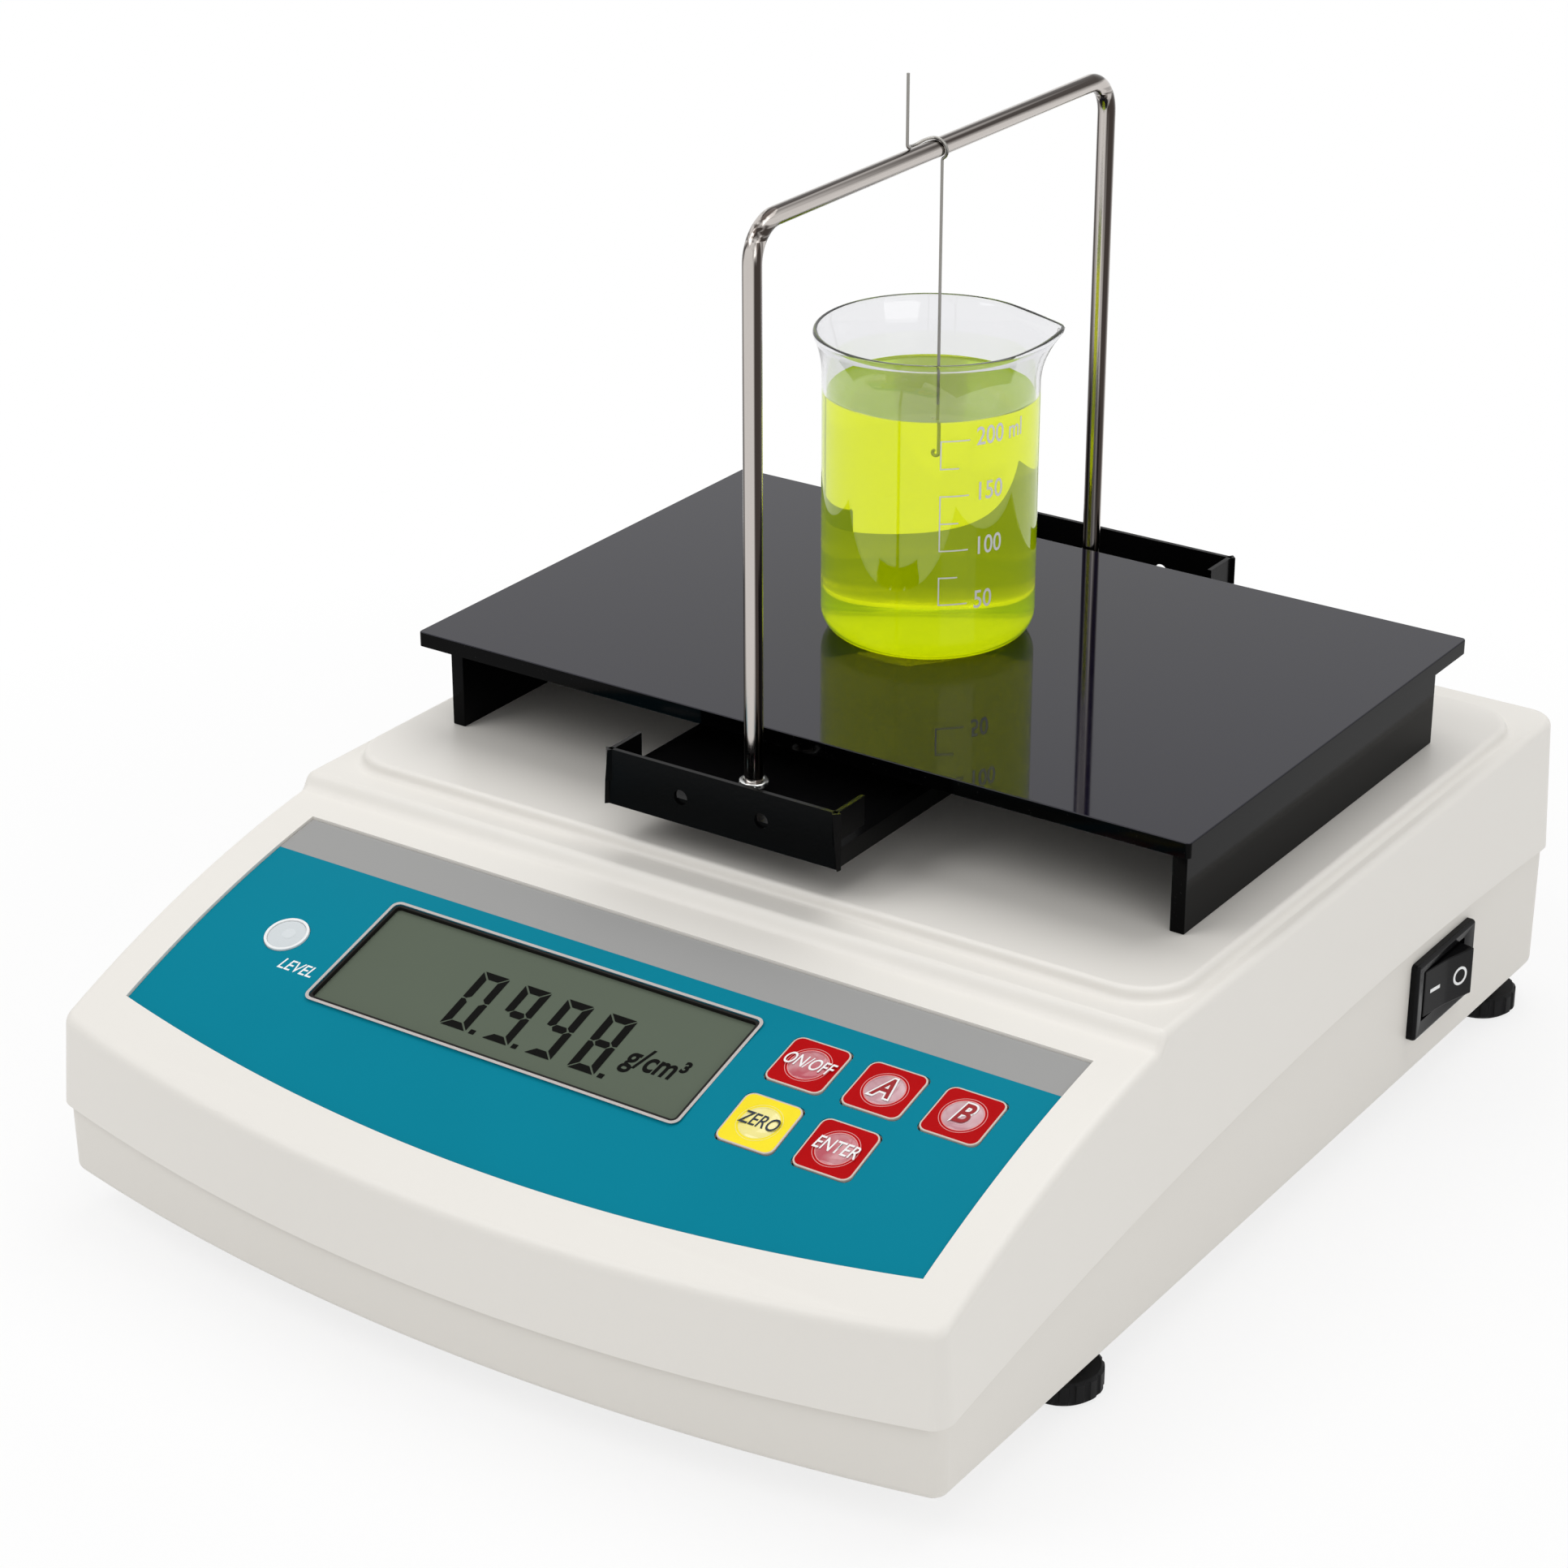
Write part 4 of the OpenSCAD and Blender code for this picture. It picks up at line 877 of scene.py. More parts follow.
def make_cover(scene):
    case, panel = scene.case_sizes, scene.panel_sizes
    curve = PanelCurve(scene)

    def top(y):
        return sum(curve.cover(y + 0.0006 * k) for k in (-2, -1, 0, 1, 2)) / 5

    e, d = case.edge - 0.0001, case.draft
    insets = [0.0] + [d + e * (1 - math.cos(a)) for a in QUARTER]
    drops = [None] + [e * (1 - math.sin(a)) for a in QUARTER]
    obj = case_solid("case_cover", case, insets, lambda k, y: top(y) - drops[k] if k else parting(case, y),
                     along_panel(case))
    wall = case.wall
    hollow = case_solid("hollow", case, [wall, wall + 0.0001, wall + d],
                        lambda k, y: (parting(case, y) - 0.003, parting(case, y) + 0.0035,
                        top(y) - wall)[k], along_panel(case))
    cut(obj, hollow)
    pocket = curve.sheet("pocket", 0.0003, panel.depth + panel.thick)
    with Shaping(pocket) as work:
        work.all()
        bpy.ops.mesh.extrude_region_move(TRANSFORM_OT_translate={"value": (0, 0, 0.012)})
        work.face_out()
    cut(obj, pocket)
    window, level, *keys = panel_cutters(curve, 0.01, panel.level_r - 0.001, 40)
    cut(obj, window, level, post_cutter(case), *keys)
    obj = join("case_cover", obj, make_plateau(case))
    shade(obj, 40)
    plastic = paint("cover_plastic", moulded_plastic, scene.finish_colours.cover)
    return finish_piece(obj, "housing", plastic, ["top_cover"])


def post_cutter(case):
    hole = turned("post_cut", [(case.post_hole, 0.09), (case.post_hole, 0.13)], 64)
    hole.location.y = case.plateau_middle
    return settle(hole)


def make_plateau(case):
    """The raised plateau, with a filleted foot and a rounded edge."""
    rings = [(2.6, -0.15), (1.7, 0.02), (1.0, 0.25), (0.45, 0.7), (0.15, 1.3), (0.0, 2.0), (-0.1, 2.6), (-0.35, 3.2), (-0.8, 3.7),
             (-1.4, 3.95), (-2.1, 4.0)]
    grow, rise = rings[0][0] * MM, rings[0][1] * MM
    width, depth = case.plateau_width + 2 * grow, case.plateau_depth + 2 * grow
    middle = case.plateau_middle
    z = case.deck + rise
    obj = new("plane", "plateau", size=1, location=(0, middle, z))
    obj.scale = (width, depth, 1)
    settle(obj)
    with Shaping(obj, "VERT") as work:
        work.all()
        bpy.ops.mesh.bevel(offset=case.plateau_corner + grow, segments=12, affect="VERTICES")
        work.by("FACE")
        work.all()
        for out, up in rings[1:]:
            w2, d2 = case.plateau_width + 2 * out * MM, case.plateau_depth + 2 * out * MM
            z2 = case.deck + up * MM * case.plateau_rise / 0.004
            bpy.ops.mesh.extrude_region_move(TRANSFORM_OT_translate={"value": (0, 0, z2 - z)})
            bpy.ops.transform.resize(value=(w2 / width, d2 / depth, 1), center_override=(0, middle, z2))
            width, depth, z = w2, d2, z2
        work.face_out()
    return cut(obj, post_cutter(case))


FEET = {"front_left": (-0.148, -0.1005), "front_right": (0.148, -0.1005),
        "rear_left": (-0.148, 0.185), "rear_right": (0.148, 0.185)}


def make_lower_case(scene):
    case, switch = scene.case_sizes, scene.switch_sizes
    e, step, wall, fit = case.bottom_edge, case.lower_step + 0.0002, case.wall, 0.00025
    insets = [step] + [step + 0.0004 + e * (1 - math.cos(a)) for a in QUARTER]
    levels = [None] + [case.underside + e * (1 - math.sin(a)) for a in QUARTER]
    stations = [-0.18 + 0.03 * k for k in range(13)]
    obj = case_solid("lower_case_shell", case, insets, lambda k, y: levels[k] if k else parting(case, y) - 0.0002, stations)
    rim = case_solid("rim", case, [wall + fit, wall + fit + 0.0001],
                     lambda k, y: parting(case, y) + (-0.006 if k else case.rim_lap), stations)
    unite(obj, rim)
    hollow = case_solid("hollow", case, [step + wall, step + wall + 0.0004, step + wall + 0.0015], lambda k, y:
                        (parting(case, y) + 0.02, case.underside + wall + 0.002, case.underside + wall)[k], stations)
    cut(obj, hollow)
    pads = []
    cutters = []
    for x, y in FEET.values():
        pad = turned("pad", [(0.0072, 0.0105), (0.0075, 0.0108), (0.0075, 0.0175)], 40)
        pad.location = (x, y, 0)
        pads.append(settle(pad))
        hole = turned("stud_cut", [(0.0036, 0.005), (0.0036, 0.03)], 32)
        hole.location = (x, y, 0)
        cutters.append(settle(hole))
    opening = rounded("switch_cut", switch.long - 0.006, switch.high - 0.006, -0.01, 0.01, 0.001)
    cutters.append(place(opening, Matrix.Translation((switch.x, switch.y, switch.z)) @ FACING_RIGHT))
    back = case.depth / 2 - case.lower_step
    jack = turned("jack_cut", [(0.0056, -0.01), (0.0056, 0.01)], 40)
    cutters.append(place(jack, Matrix.Translation((-0.06, back, PORT_Z)) @ FACING_BACK))
    plug = rounded("serial_cut", 0.019, 0.0096, -0.01, 0.01, 0.001)
    cutters.append(place(plug, Matrix.Translation((0.04, back, PORT_Z)) @ FACING_BACK))
    unite(obj, *pads)
    cut(obj, *cutters)
    shade(obj, 40)
    plastic = paint("lower_plastic", moulded_plastic, scene.finish_colours.lower)
    return finish_piece(obj, "housing", plastic, ["lower_case"])


# ---- Panel ----

KEY_PLACES = {"key_on_off": (0, 0), "key_a": (1, 0), "key_b": (2, 0), "key_zero": (0, 1), "key_enter": (1, 1)}


def key_place(curve, column, row):
    panel = curve.panel
    return curve.at(panel.key_x + panel.key_pitch * column, panel.key_t + panel.key_row * row)


def make_film(scene):
    panel, colours = scene.panel_sizes, scene.finish_colours
    curve = PanelCurve(scene)
    obj = curve.sheet("printed_panel", -0.0001, panel.depth, 64, 72)
    modify(obj, "SOLIDIFY", thickness=panel.thick - 0.00004, offset=-1.0)
    cut(obj, *panel_cutters(curve, 0.005, panel.level_r + 0.0002, 48))
    shade(obj, 40)
    edge_y = curve.y(panel.start + panel.band)
    printed = paint("panel_film", printed_film, colours.film, colours.band, edge_y)
    return finish_piece(obj, "housing", printed, ["panel_overlay"])


SEGMENTS = {"0": "abcdef", "9": "abcdfg", "8": "abcdefg"}


def segment_shapes(digit, width, height, bar):
    """Outlines of a digit's seven-segment bars, with its lower left corner at the origin."""
    g, b, w, h, m = bar * 0.16, bar, width, height, height / 2
    k = b / 2
    shapes = {
        "a": [(g, h), (w - g, h), (w - b - g, h - b), (b + g, h - b)],
        "b": [(w, h - g), (w, m + g), (w - k, m + g * 0.4), (w - b, m + k), (w - b, h - b - g)],
        "c": [(w, m - g), (w, g), (w - b, b + g), (w - b, m - k), (w - k, m - g * 0.4)],
        "d": [(b + g, b), (w - b - g, b), (w - g, 0), (g, 0)],
        "e": [(0, g), (0, m - g), (k, m - g * 0.4), (b, m - k), (b, b + g)],
        "f": [(0, m + g), (0, h - g), (b, h - b - g), (b, m + k), (k, m + g * 0.4)],
        "g": [(k + g * 2, m), (b + g, m + k), (w - b - g, m + k), (w - k - g * 2, m), (w - b - g, m - k), (b + g, m - k)],
    }
    return [shapes[name] for name in SEGMENTS[digit]]


def make_display(scene):
    panel, colours = scene.panel_sizes, scene.finish_colours
    curve = PanelCurve(scene)
    here = curve.at(panel.window_x, panel.window_t)
    wall, w, h = 0.0009, panel.window_w - 0.0003, panel.window_h - 0.0003
    tub = rounded("display_surround", w, h, -panel.window_deep - 0.004, -panel.depth - 0.0002, 0.0021, 0.00015)
    hollow = rounded("hollow", w - 2 * wall, h - 2 * wall, -panel.window_deep, 0.003, 0.0014)
    cut(tub, hollow)
    shade(tub)
    place(tub, here)
    finish_piece(tub, "housing", paint("black_surround", soft_rubber, (0.012, 0.011, 0.01), 0.45), ["lcd_module"])
    face = rounded("display_face", w - 2 * wall - 0.0001, h - 2 * wall - 0.0001, -panel.window_deep - 0.0004,
                   -panel.window_deep + 0.0003, 0.0013, 0.0001)
    shade(face)
    place(face, here)
    finish_piece(face, "housing", paint("display_reflector", display_face, colours.display), ["lcd_window"])
    bars = []
    height, width, bar, pitch, lean = 0.0246, 0.0098, 0.0027, 0.0159, -0.03
    x0, y0 = -0.0235, -0.0153
    for place_no, digit in enumerate("0998"):
        for outline in segment_shapes(digit, width, height, bar):
            points = [(x0 + place_no * pitch + x + lean * y, y0 + y) for x, y in outline]
            bars.append(flat_shape("bar", points, 0.00005))
        dot_x, dot_y = x0 + place_no * pitch + width + 0.0013, y0 - 0.0002
        dot = [(dot_x + 0.0019 * a, dot_y + 0.0018 * b) for a, b in ((0, 0), (1, 0), (1, 1), (0, 1))]
        if place_no != 2:
            bars.append(flat_shape("dot", dot, 0.00005))
    unit = lettering("unit", "g/cm³", 0.0122, 0.00005, 0.1, "LEFT", 0.74, 0.00022)
    unit.location = (x0 + 4 * pitch - 0.0012, y0 + 0.0112, 0)
    bars.append(settle(unit))
    digits = join("display_digits", *bars)
    place(digits, here @ Matrix.Translation((0, 0, -panel.window_deep + 0.0004)))
    finish_piece(digits, "housing", paint("display_ink", ink, (0.002, 0.002, 0.0015), 0.5, 0.04), ())
    rim = rounded("window_border", panel.window_w + 0.0019, panel.window_h + 0.0019,
                  -panel.depth + 0.00002, -panel.depth + 0.00012, 0.0029)
    cut(rim, rounded("hollow", panel.window_w - 0.0001, panel.window_h - 0.0001, -0.003, 0.003, 0.0021))
    place(rim, here)
    finish_piece(rim, "housing", paint("pale_print", ink, (0.5, 0.46, 0.44), 0.4), ())


def make_level(scene):
    panel = scene.panel_sizes
    curve = PanelCurve(scene)
    here = curve.at(panel.level_x, panel.level_t)
    r = panel.level_r
    ring = turned("level_ring", [(r, -0.0012), (r, -0.0003), (r - 0.00025, -0.0001), (r - 0.0006, -0.0001),
                                 (r - 0.0009, -0.0003), (r - 0.0009, -0.0012)], 64, False)
    with Shaping(ring, "EDGE") as work:
        work.all()
        bpy.ops.mesh.remove_doubles(threshold=1e-7)
    modify(ring, "SOLIDIFY", thickness=0.0001, offset=-1.0)
    shade(ring, 50)
    place(ring, here)
    finish_piece(ring, "housing", white_print(), ())
    vial = turned("level_vial_glass", [(r - 0.00095, -0.009), (r - 0.00095, -0.0007), (r - 0.0014, -0.00045),
                                       (r * 0.5, -0.0004)], 64)
    shade(vial, 50)
    place(vial, here)
    finish_piece(vial, "housing", paint("level_glass", ink, (0.62, 0.66, 0.68), 0.12), ["level_vial"])
    bubble = turned("level_bubble", [(0.0022, -0.00041), (0.00225, -0.00036), (0.0019, -0.0003), (0.0011, -0.00026)], 40)
    bubble.location = (0.0006, 0.0004, 0)
    settle(bubble)
    shade(bubble, 60)
    place(bubble, here)
    finish_piece(bubble, "housing", paint("bubble_glass", ink, (0.66, 0.7, 0.72), 0.12), ())
    word = lettering("level_word", "LEVEL", 0.0064, 0.00004, 0.25, "CENTER", 0.82, 0.00004)
    place(word, curve.at(panel.level_x + 0.0127, panel.level_t + 0.0111, -panel.depth + 0.00003))
    finish_piece(word, "housing", white_print(), ())


KEY_WORDS = {"key_on_off": "ON/OFF", "key_a": "A", "key_b": "B", "key_zero": "ZERO", "key_enter": "ENTER"}


def painted_highlight_ring(name, radius, width, z):
    """A thin ring of painted highlight, flat in the XY plane."""
    inner, face = radius - width, z + 0.00004
    return washer(name, [(inner, z), (radius, z), (radius, face), (inner, face)], 72)


def make_key(scene, node):
    panel, colours = scene.panel_sizes, scene.finish_colours
    curve = PanelCurve(scene)
    column, row = KEY_PLACES[node]
    top = -panel.depth + panel.key_proud
    words = KEY_WORDS[node]
    red, letter = node != "key_zero", len(words) == 1
    name, tint = ("red_key", colours.red) if red else ("yellow_key", colours.yellow)
    face = paint(name, soft_rubber, tint, 0.42, 0.000006, 1100.0, 0.04)
    border = paint("key_border", ink, (0.6, 0.52, 0.46), 0.4)
    white = white_print()
    ring_highlight = paint("pink_ring", ink, (0.72, 0.28, 0.28), 0.4)
    # Each dome's colour is paler than its key's: painted highlight for the reflections on the clear dome
    if letter:
        dome = paint("clear_dome_letter", dome_painted_highlight, (0.5, 0.24, 0.28))
    elif red:
        dome = paint("clear_dome_red", dome_painted_highlight, (0.46, 0.06, 0.09))
    else:
        ring_highlight = paint("pale_yellow_ring", ink, (0.84, 0.76, 0.22), 0.4)
        dome = paint("clear_dome_yellow", dome_painted_highlight, (0.86, 0.76, 0.2))
    cap = rounded(node + "_cap", panel.key_w, panel.key_w, -0.0032, top, 0.003, 0.00012)
    cap.data.materials.append(border)
    cap.data.materials.append(face)
    with Shaping(cap) as work:
        work.pick(lambda f: f.normal.z > 0.99 and f.calc_area() > 0.0001)
        bpy.ops.mesh.inset(thickness=0.0004, depth=0)
        cap.active_material_index = 1
        bpy.ops.object.material_slot_assign()
    # Two thin rings of painted highlight stand in for the light caught by the edges of the key's embossed dome
    outer = painted_highlight_ring("outer_highlight_ring", 0.0071, 0.00022, top)
    inner = painted_highlight_ring("inner_highlight_ring", 0.0063, 0.0003, top)
    for ring in (outer, inner):
        ring.data.materials.append(ring_highlight)
    dome_profile = ((6.0, -0.2), (6.0, 0.04), (5.8, 0.14), (5.4, 0.26), (4.8, 0.36), (3.8, 0.46), (2.2, 0.53), (0.9, 0.55))
    swell = turned("swell", [(r * MM, top + rise * MM) for r, rise in dome_profile], 72)
    swell.data.materials.append(dome)
    parts = [cap, outer, inner, swell]
    if letter:
        ink_of = {"halo": white, "legend": paint("deep_red_print", ink, (0.3, 0.004, 0.008), 0.4)}
        sizes = {"halo": (0.0112, 0.0009, 0.00057), "legend": (0.0112, 0.0002, 0.00066)}
    else:
        ink_of = {"legend": white if red else paint("navy_print", ink, (0.012, 0.024, 0.04), 0.4)}
        sizes = {"legend": (0.007, 0.00004, 0.0006)}
    narrow = 0.78 if letter else 0.65 if words == "ON/OFF" else 0.7
    for kind, (size, bold, lift) in sizes.items():
        legend = lettering(kind, words, size, 0.00008, 0.2, "CENTER", narrow, bold)
        legend.location = (0, 0, top + lift)
        settle(legend)
        legend.data.materials.append(ink_of[kind])
        parts.append(legend)
    key = join(node + "_cap", *parts)
    shade(key, 40)
    place(key, key_place(curve, column, row))
    finish_piece(key, node + "_cap", None, [node])


# ---- Weighing tray, rods and wire ----

def make_tray(scene):
    s = scene.weighing_sizes
    y0, y1 = s.tray_y - s.tray_l / 2, s.tray_y + s.tray_l / 2
    half, turn = s.tray_w / 2, 0.0009
    floor = block("weighing_tray", (-half, y0 + turn, s.tray_z - s.flange), (half, y1 - turn, s.tray_z), 0.00001, 1)
    with Shaping(floor) as work:
        work.pick(lambda f: f.calc_center_median().z < s.tray_z - s.flange + 0.0001 or abs(f.normal.y) > 0.5)
        bpy.ops.mesh.delete(type="FACE")
        work.by("EDGE")
        work.pick(lambda e: all(v.co.z > s.tray_z - 0.0002 and abs(v.co.x) > half - 0.0002 for v in e.verts)
                  and abs(e.verts[0].co.y - e.verts[1].co.y) > 0.1)
        bpy.ops.mesh.bevel(offset=0.0018, segments=5, affect="EDGES")
    soften(modify(floor, "SOLIDIFY", thickness=s.sheet, offset=-1.0), 0.00028, 2)
    ends = []
    for sign in (-1, 1):
        edge = y0 if sign < 0 else y1
        inner = edge - sign * s.back
        low, high = s.tray_z - s.wall_down, s.tray_z + s.wall_up + (0.0012 if sign > 0 else 0.0)
        end = block("end_wall", (-half, min(edge, inner), low), (half, max(edge, inner), high), 0.00001, 1)
        with Shaping(end) as work:
            work.pick(lambda f: abs(f.normal.z) > 0.5
                      or (abs(f.normal.y) > 0.5 and abs(f.calc_center_median().y - inner) < 0.001))
            bpy.ops.mesh.delete(type="FACE")
            work.by("EDGE")
            work.pick(lambda e: all(abs(v.co.y - edge) < 0.0002 and abs(v.co.x) > half - 0.0002 for v in e.verts)
                      and abs(e.verts[0].co.z - e.verts[1].co.z) > 0.01)
            bpy.ops.mesh.bevel(offset=turn, segments=4, affect="EDGES")
            work.by("FACE")
            work.all()
            bpy.ops.mesh.bisect(plane_co=(0, 0, s.tray_z - 0.0002), plane_no=(0, 0, 1))
            work.pick(lambda f: abs(f.normal.x) > 0.99 and f.calc_center_median().z < s.tray_z - 0.0002)
            bpy.ops.mesh.delete(type="FACE")
        soften(modify(end, "SOLIDIFY", thickness=s.sheet, offset=-1.0), 0.00028, 2)
        holes = []
        for side in (-1, 1):
            hole = turned("hole", [(s.hole_d / 2, -0.01), (s.hole_d / 2, 0.01)], 32)
            spot = (side * s.hole_pitch / 2, edge, s.tray_z + 0.0008)
            holes.append(place(hole, Matrix.Translation(spot) @ FACING_BACK))
        cut(end, *holes)
        ends.append(end)
    tray = join("weighing_tray", floor, *ends)
    shade(tray, 40)
    finish_piece(tray, "weighing", tray_coat(), ["weigh_tray"])


def make_rods(scene):
    s = scene.weighing_sizes
    low, bend = s.tray_z - 0.0065, s.bend
    points = [(0, s.rod_front, low), (0, s.rod_front, s.tray_z), (0, s.rod_front, 0.2)]
    turns = quarter(14)
    points += [(0, s.rod_front + bend - bend * math.cos(a), s.bar_z - bend + bend * math.sin(a)) for a in turns]
    points += [(0, s.rod_rear - bend + bend * math.sin(a), s.bar_z - bend + bend * math.cos(a)) for a in turns]
    points += [(0, s.rod_rear, 0.2), (0, s.rod_rear, s.tray_z), (0, s.rod_rear, low)]
    rod = bent("rod_frame_bar", points, s.rod_d, 32)
    shade(rod, 50)
    # The second colour is the dark of the painted reflections along the rod
    steel = paint("polished_rod", drawn_rod, scene.finish_colours.steel, (0.05, 0.04, 0.035), s.bar_z - bend * 0.4)
    finish_piece(rod, "weighing", steel, ["rod_frame"])
    rings, collars = [], []
    for y in (s.rod_front, s.rod_rear):
        inner, outer, z = s.rod_d / 2 + 0.0001, s.ring_d / 2, s.tray_z + s.collar_h
        side = outer - 0.0006
        collar = washer("collar", [(inner, s.tray_z), (side, s.tray_z), (side, z), (inner, z)])
        collar.location.y = y
        collars.append(settle(collar))
        ring = washer("ring", [(inner, z), (outer, z), (outer, z + 0.0011), (outer - 0.0003, z + 0.0015),
                               (inner + 0.0004, z + 0.0016), (inner, z + 0.0014)])
        ring.location.y = y
        rings.append(settle(ring))
    collars = join("rod_collars", *collars)
    shade(collars, 40)
    finish_piece(collars, "weighing", tray_coat(), ())
    rings = join("rod_washers", *rings)
    shade(rings, 40)
    bright = paint("bright_collar", bright_metal, (0.85, 0.85, 0.84), 0.2, (1, 1, 1))
    finish_piece(rings, "weighing", bright, ["rod_rings"])


def make_hook(scene):
    """Wire laid along the bar and bent over it: one end stands up, the other hangs down to a small closed hook."""
    s = scene.weighing_sizes
    coil, bend, hook_r = s.rod_d / 2 + s.wire_d / 2 + 0.00015, 0.0012, 0.00095
    wrap_run, wrap_end, back_lean = 0.003, math.radians(-60), math.radians(50)
    tail_y, top = s.wire_y - s.tail_run, s.bar_z + coil
    points = [(0, tail_y, s.bar_z + s.tail_h)]
    points += [(0, tail_y + bend - bend * math.cos(a), top + bend - bend * math.sin(a)) for a in quarter(8)]
    run_y = tail_y + bend
    run_l = s.wire_y - wrap_run - run_y
    for k in range(1, 32):
        a = math.pi / 2 + back_lean * math.sin(math.pi * k / 32)
        points.append((coil * math.cos(a), run_y + run_l * k / 32, s.bar_z + coil * math.sin(a)))
    for k in range(31):
        a = math.pi / 2 + (wrap_end - math.pi / 2) * k / 30
        points.append((coil * math.cos(a), s.wire_y - wrap_run * (1 - k / 30), s.bar_z + coil * math.sin(a)))
    for k in range(1, 13):
        a = wrap_end * (1 - k / 12)
        points.append((coil * math.cos(wrap_end) + bend * (math.cos(wrap_end) - math.cos(a)), s.wire_y,
                       s.bar_z + coil * math.sin(wrap_end) + bend * (math.sin(wrap_end) - math.sin(a))))
    hang_x = coil * math.cos(wrap_end) + bend * (math.cos(wrap_end) - 1)
    eye = s.hook_z + s.wire_d / 2 + hook_r
    for k in range(23):
        a = -math.radians(247.5) * k / 22
        points.append((hang_x - hook_r + hook_r * math.cos(a), s.wire_y, eye + hook_r * math.sin(a)))
    wire = bent("hook_wire_run", points, s.wire_d, 16)
    shade(wire, 60)
    finish_piece(wire, "hook", paint("drawn_wire", bright_metal, (0.3, 0.29, 0.27), 0.3), ["hook_wire"])


# ---- Table, beaker and liquid ----

def make_table(scene):
    s = scene.table_sizes
    # The top face is a copy of the sides' black acrylic with a bluish base and stronger gloss: painted sheen where the
    # top catches the light; the sides keep plain black with weak gloss
    top = paint("black_acrylic_face", polished_sheet, (0.0008, 0.0004, 0.008), 0.015, 0.24)
    black = paint("black_acrylic_edge", polished_sheet, (0.0006, 0.0006, 0.0007), 0.05, 0.06)
    half, y0, y1 = s.width / 2, s.middle - s.depth / 2, s.middle + s.depth / 2
    plate = rounded("table_plate", s.width, s.depth, s.under, s.under + s.thick, 0.0015, 0.0004, 5)
    plate.location.y = s.middle
    settle(plate)
    plate.data.materials.append(black)
    plate.data.materials.append(top)
    with Shaping(plate) as work:
        work.pick(lambda f: f.normal.z > 0.3)
        plate.active_material_index = 1
        bpy.ops.object.material_slot_assign()
    finish_piece(shade(plate), "table", None, ["table_top"])
    foot = scene.case_sizes.deck + scene.case_sizes.plateau_rise
    for side, node in ((-1, "table_leg_left"), (1, "table_leg_right")):
        outer = side * (half - s.leg_inset)
        inner = outer - side * s.thick
        leg = block(node + "_sheet", (min(outer, inner), y0 + s.leg_end, foot),
                    (max(outer, inner), y1 - s.leg_end, s.under), 0.0004, 2)
        finish_piece(shade(leg), "table", black, [node])


def rim_flow(s, co, centre):
    """Draws the rim out into a spout on one side."""
    x, y = co.x - centre[0], co.y - centre[1]
    r, a = math.hypot(x, y), math.atan2(y, x) - s.spout
    up = max(0.0, (co.z - (s.base + s.height - 0.016)) / 0.016)
    if r < s.diameter * 0.4 or up <= 0:
        return co
    lobe = math.exp(-((abs(a) / 0.24) ** 1.5))
    pinch = math.exp(-(((abs(a) - 0.62) / 0.2) ** 2))
    push = up ** 1.7 * (0.0046 * lobe - 0.0005 * pinch)
    k = (r + push) / r
    return Vector((centre[0] + x * k, centre[1] + y * k, co.z + up ** 2 * 0.0008 * lobe))


def make_beaker(scene):
    s, colours = scene.beaker_sizes, scene.finish_colours
    r, h, g, c = s.diameter / 2, s.height, s.glass, s.foot
    foot_arc = quarter(8)
    outer = [(0.004, 0.0004), (r - c - 0.004, 0.0004), (r - c, 0.0)]
    outer += [(r - c + c * math.sin(a), c - c * math.cos(a)) for a in foot_arc[1:]]
    outer += [(r, z) for z in (0.02, 0.035, 0.05, 0.065, 0.078)]
    flare = [(a / 10, h - 0.016 + 0.014 * a / 10) for a in range(11)]
    outer += [(r + (s.rim - r) * k ** 2.2, z) for k, z in flare]
    lip = ((0.0002, 0.0012), (0.0, 0.0004), (-0.0005, 0.0), (-0.0012, 0.0001), (-g - 0.0002, 0.0009))
    outer += [(s.rim + out, h - down) for out, down in lip]
    inner = [(r - g + (s.rim - r) * k ** 2.2, z) for k, z in reversed(flare)]
    inner += [(r - g, z) for z in (0.078, 0.065, 0.05, 0.035, 0.02)]
    ci = c - g * 0.5
    inner += [(r - g - ci + ci * math.sin(a), g + ci - ci * math.cos(a)) for a in reversed(foot_arc)] + [(0.004, g)]
    beaker = turned("beaker_glass", outer + inner, 128)
    beaker.location = (s.x, s.y, s.base)
    settle(beaker)
    with Shaping(beaker, "FACE") as work:
        work.move(lambda co: rim_flow(s, co, (s.x, s.y)))
        work.face_out()
    shade(beaker, 60)
    finish_piece(beaker, "glassware", paint("beaker_clear", clear_glass), ["beaker"])
    ri = r - g + 0.00012
    body = [(0.004, g - 0.0001), (r - g - ci, g - 0.0001)]
    body += [(ri - ci + ci * math.sin(a), g + ci - ci * math.cos(a)) for a in foot_arc[1:]]
    body += [(ri, z) for z in (0.02, 0.04, 0.06, s.fill)]
    body += [(ri - 0.0004, s.fill + 0.0006), (ri - 0.0012, s.fill + 0.00015), (ri - 0.0026, s.fill), (0.004, s.fill)]
    liquid = turned("test_liquid", body, 128)
    liquid.location = (s.x, s.y, s.base)
    settle(liquid)
    shade(liquid, 50)
    finish_piece(liquid, "glassware", paint("yellow_liquid", tinted_liquid, colours.liquid), ["sample_liquid"])
    make_marks(s, colours)


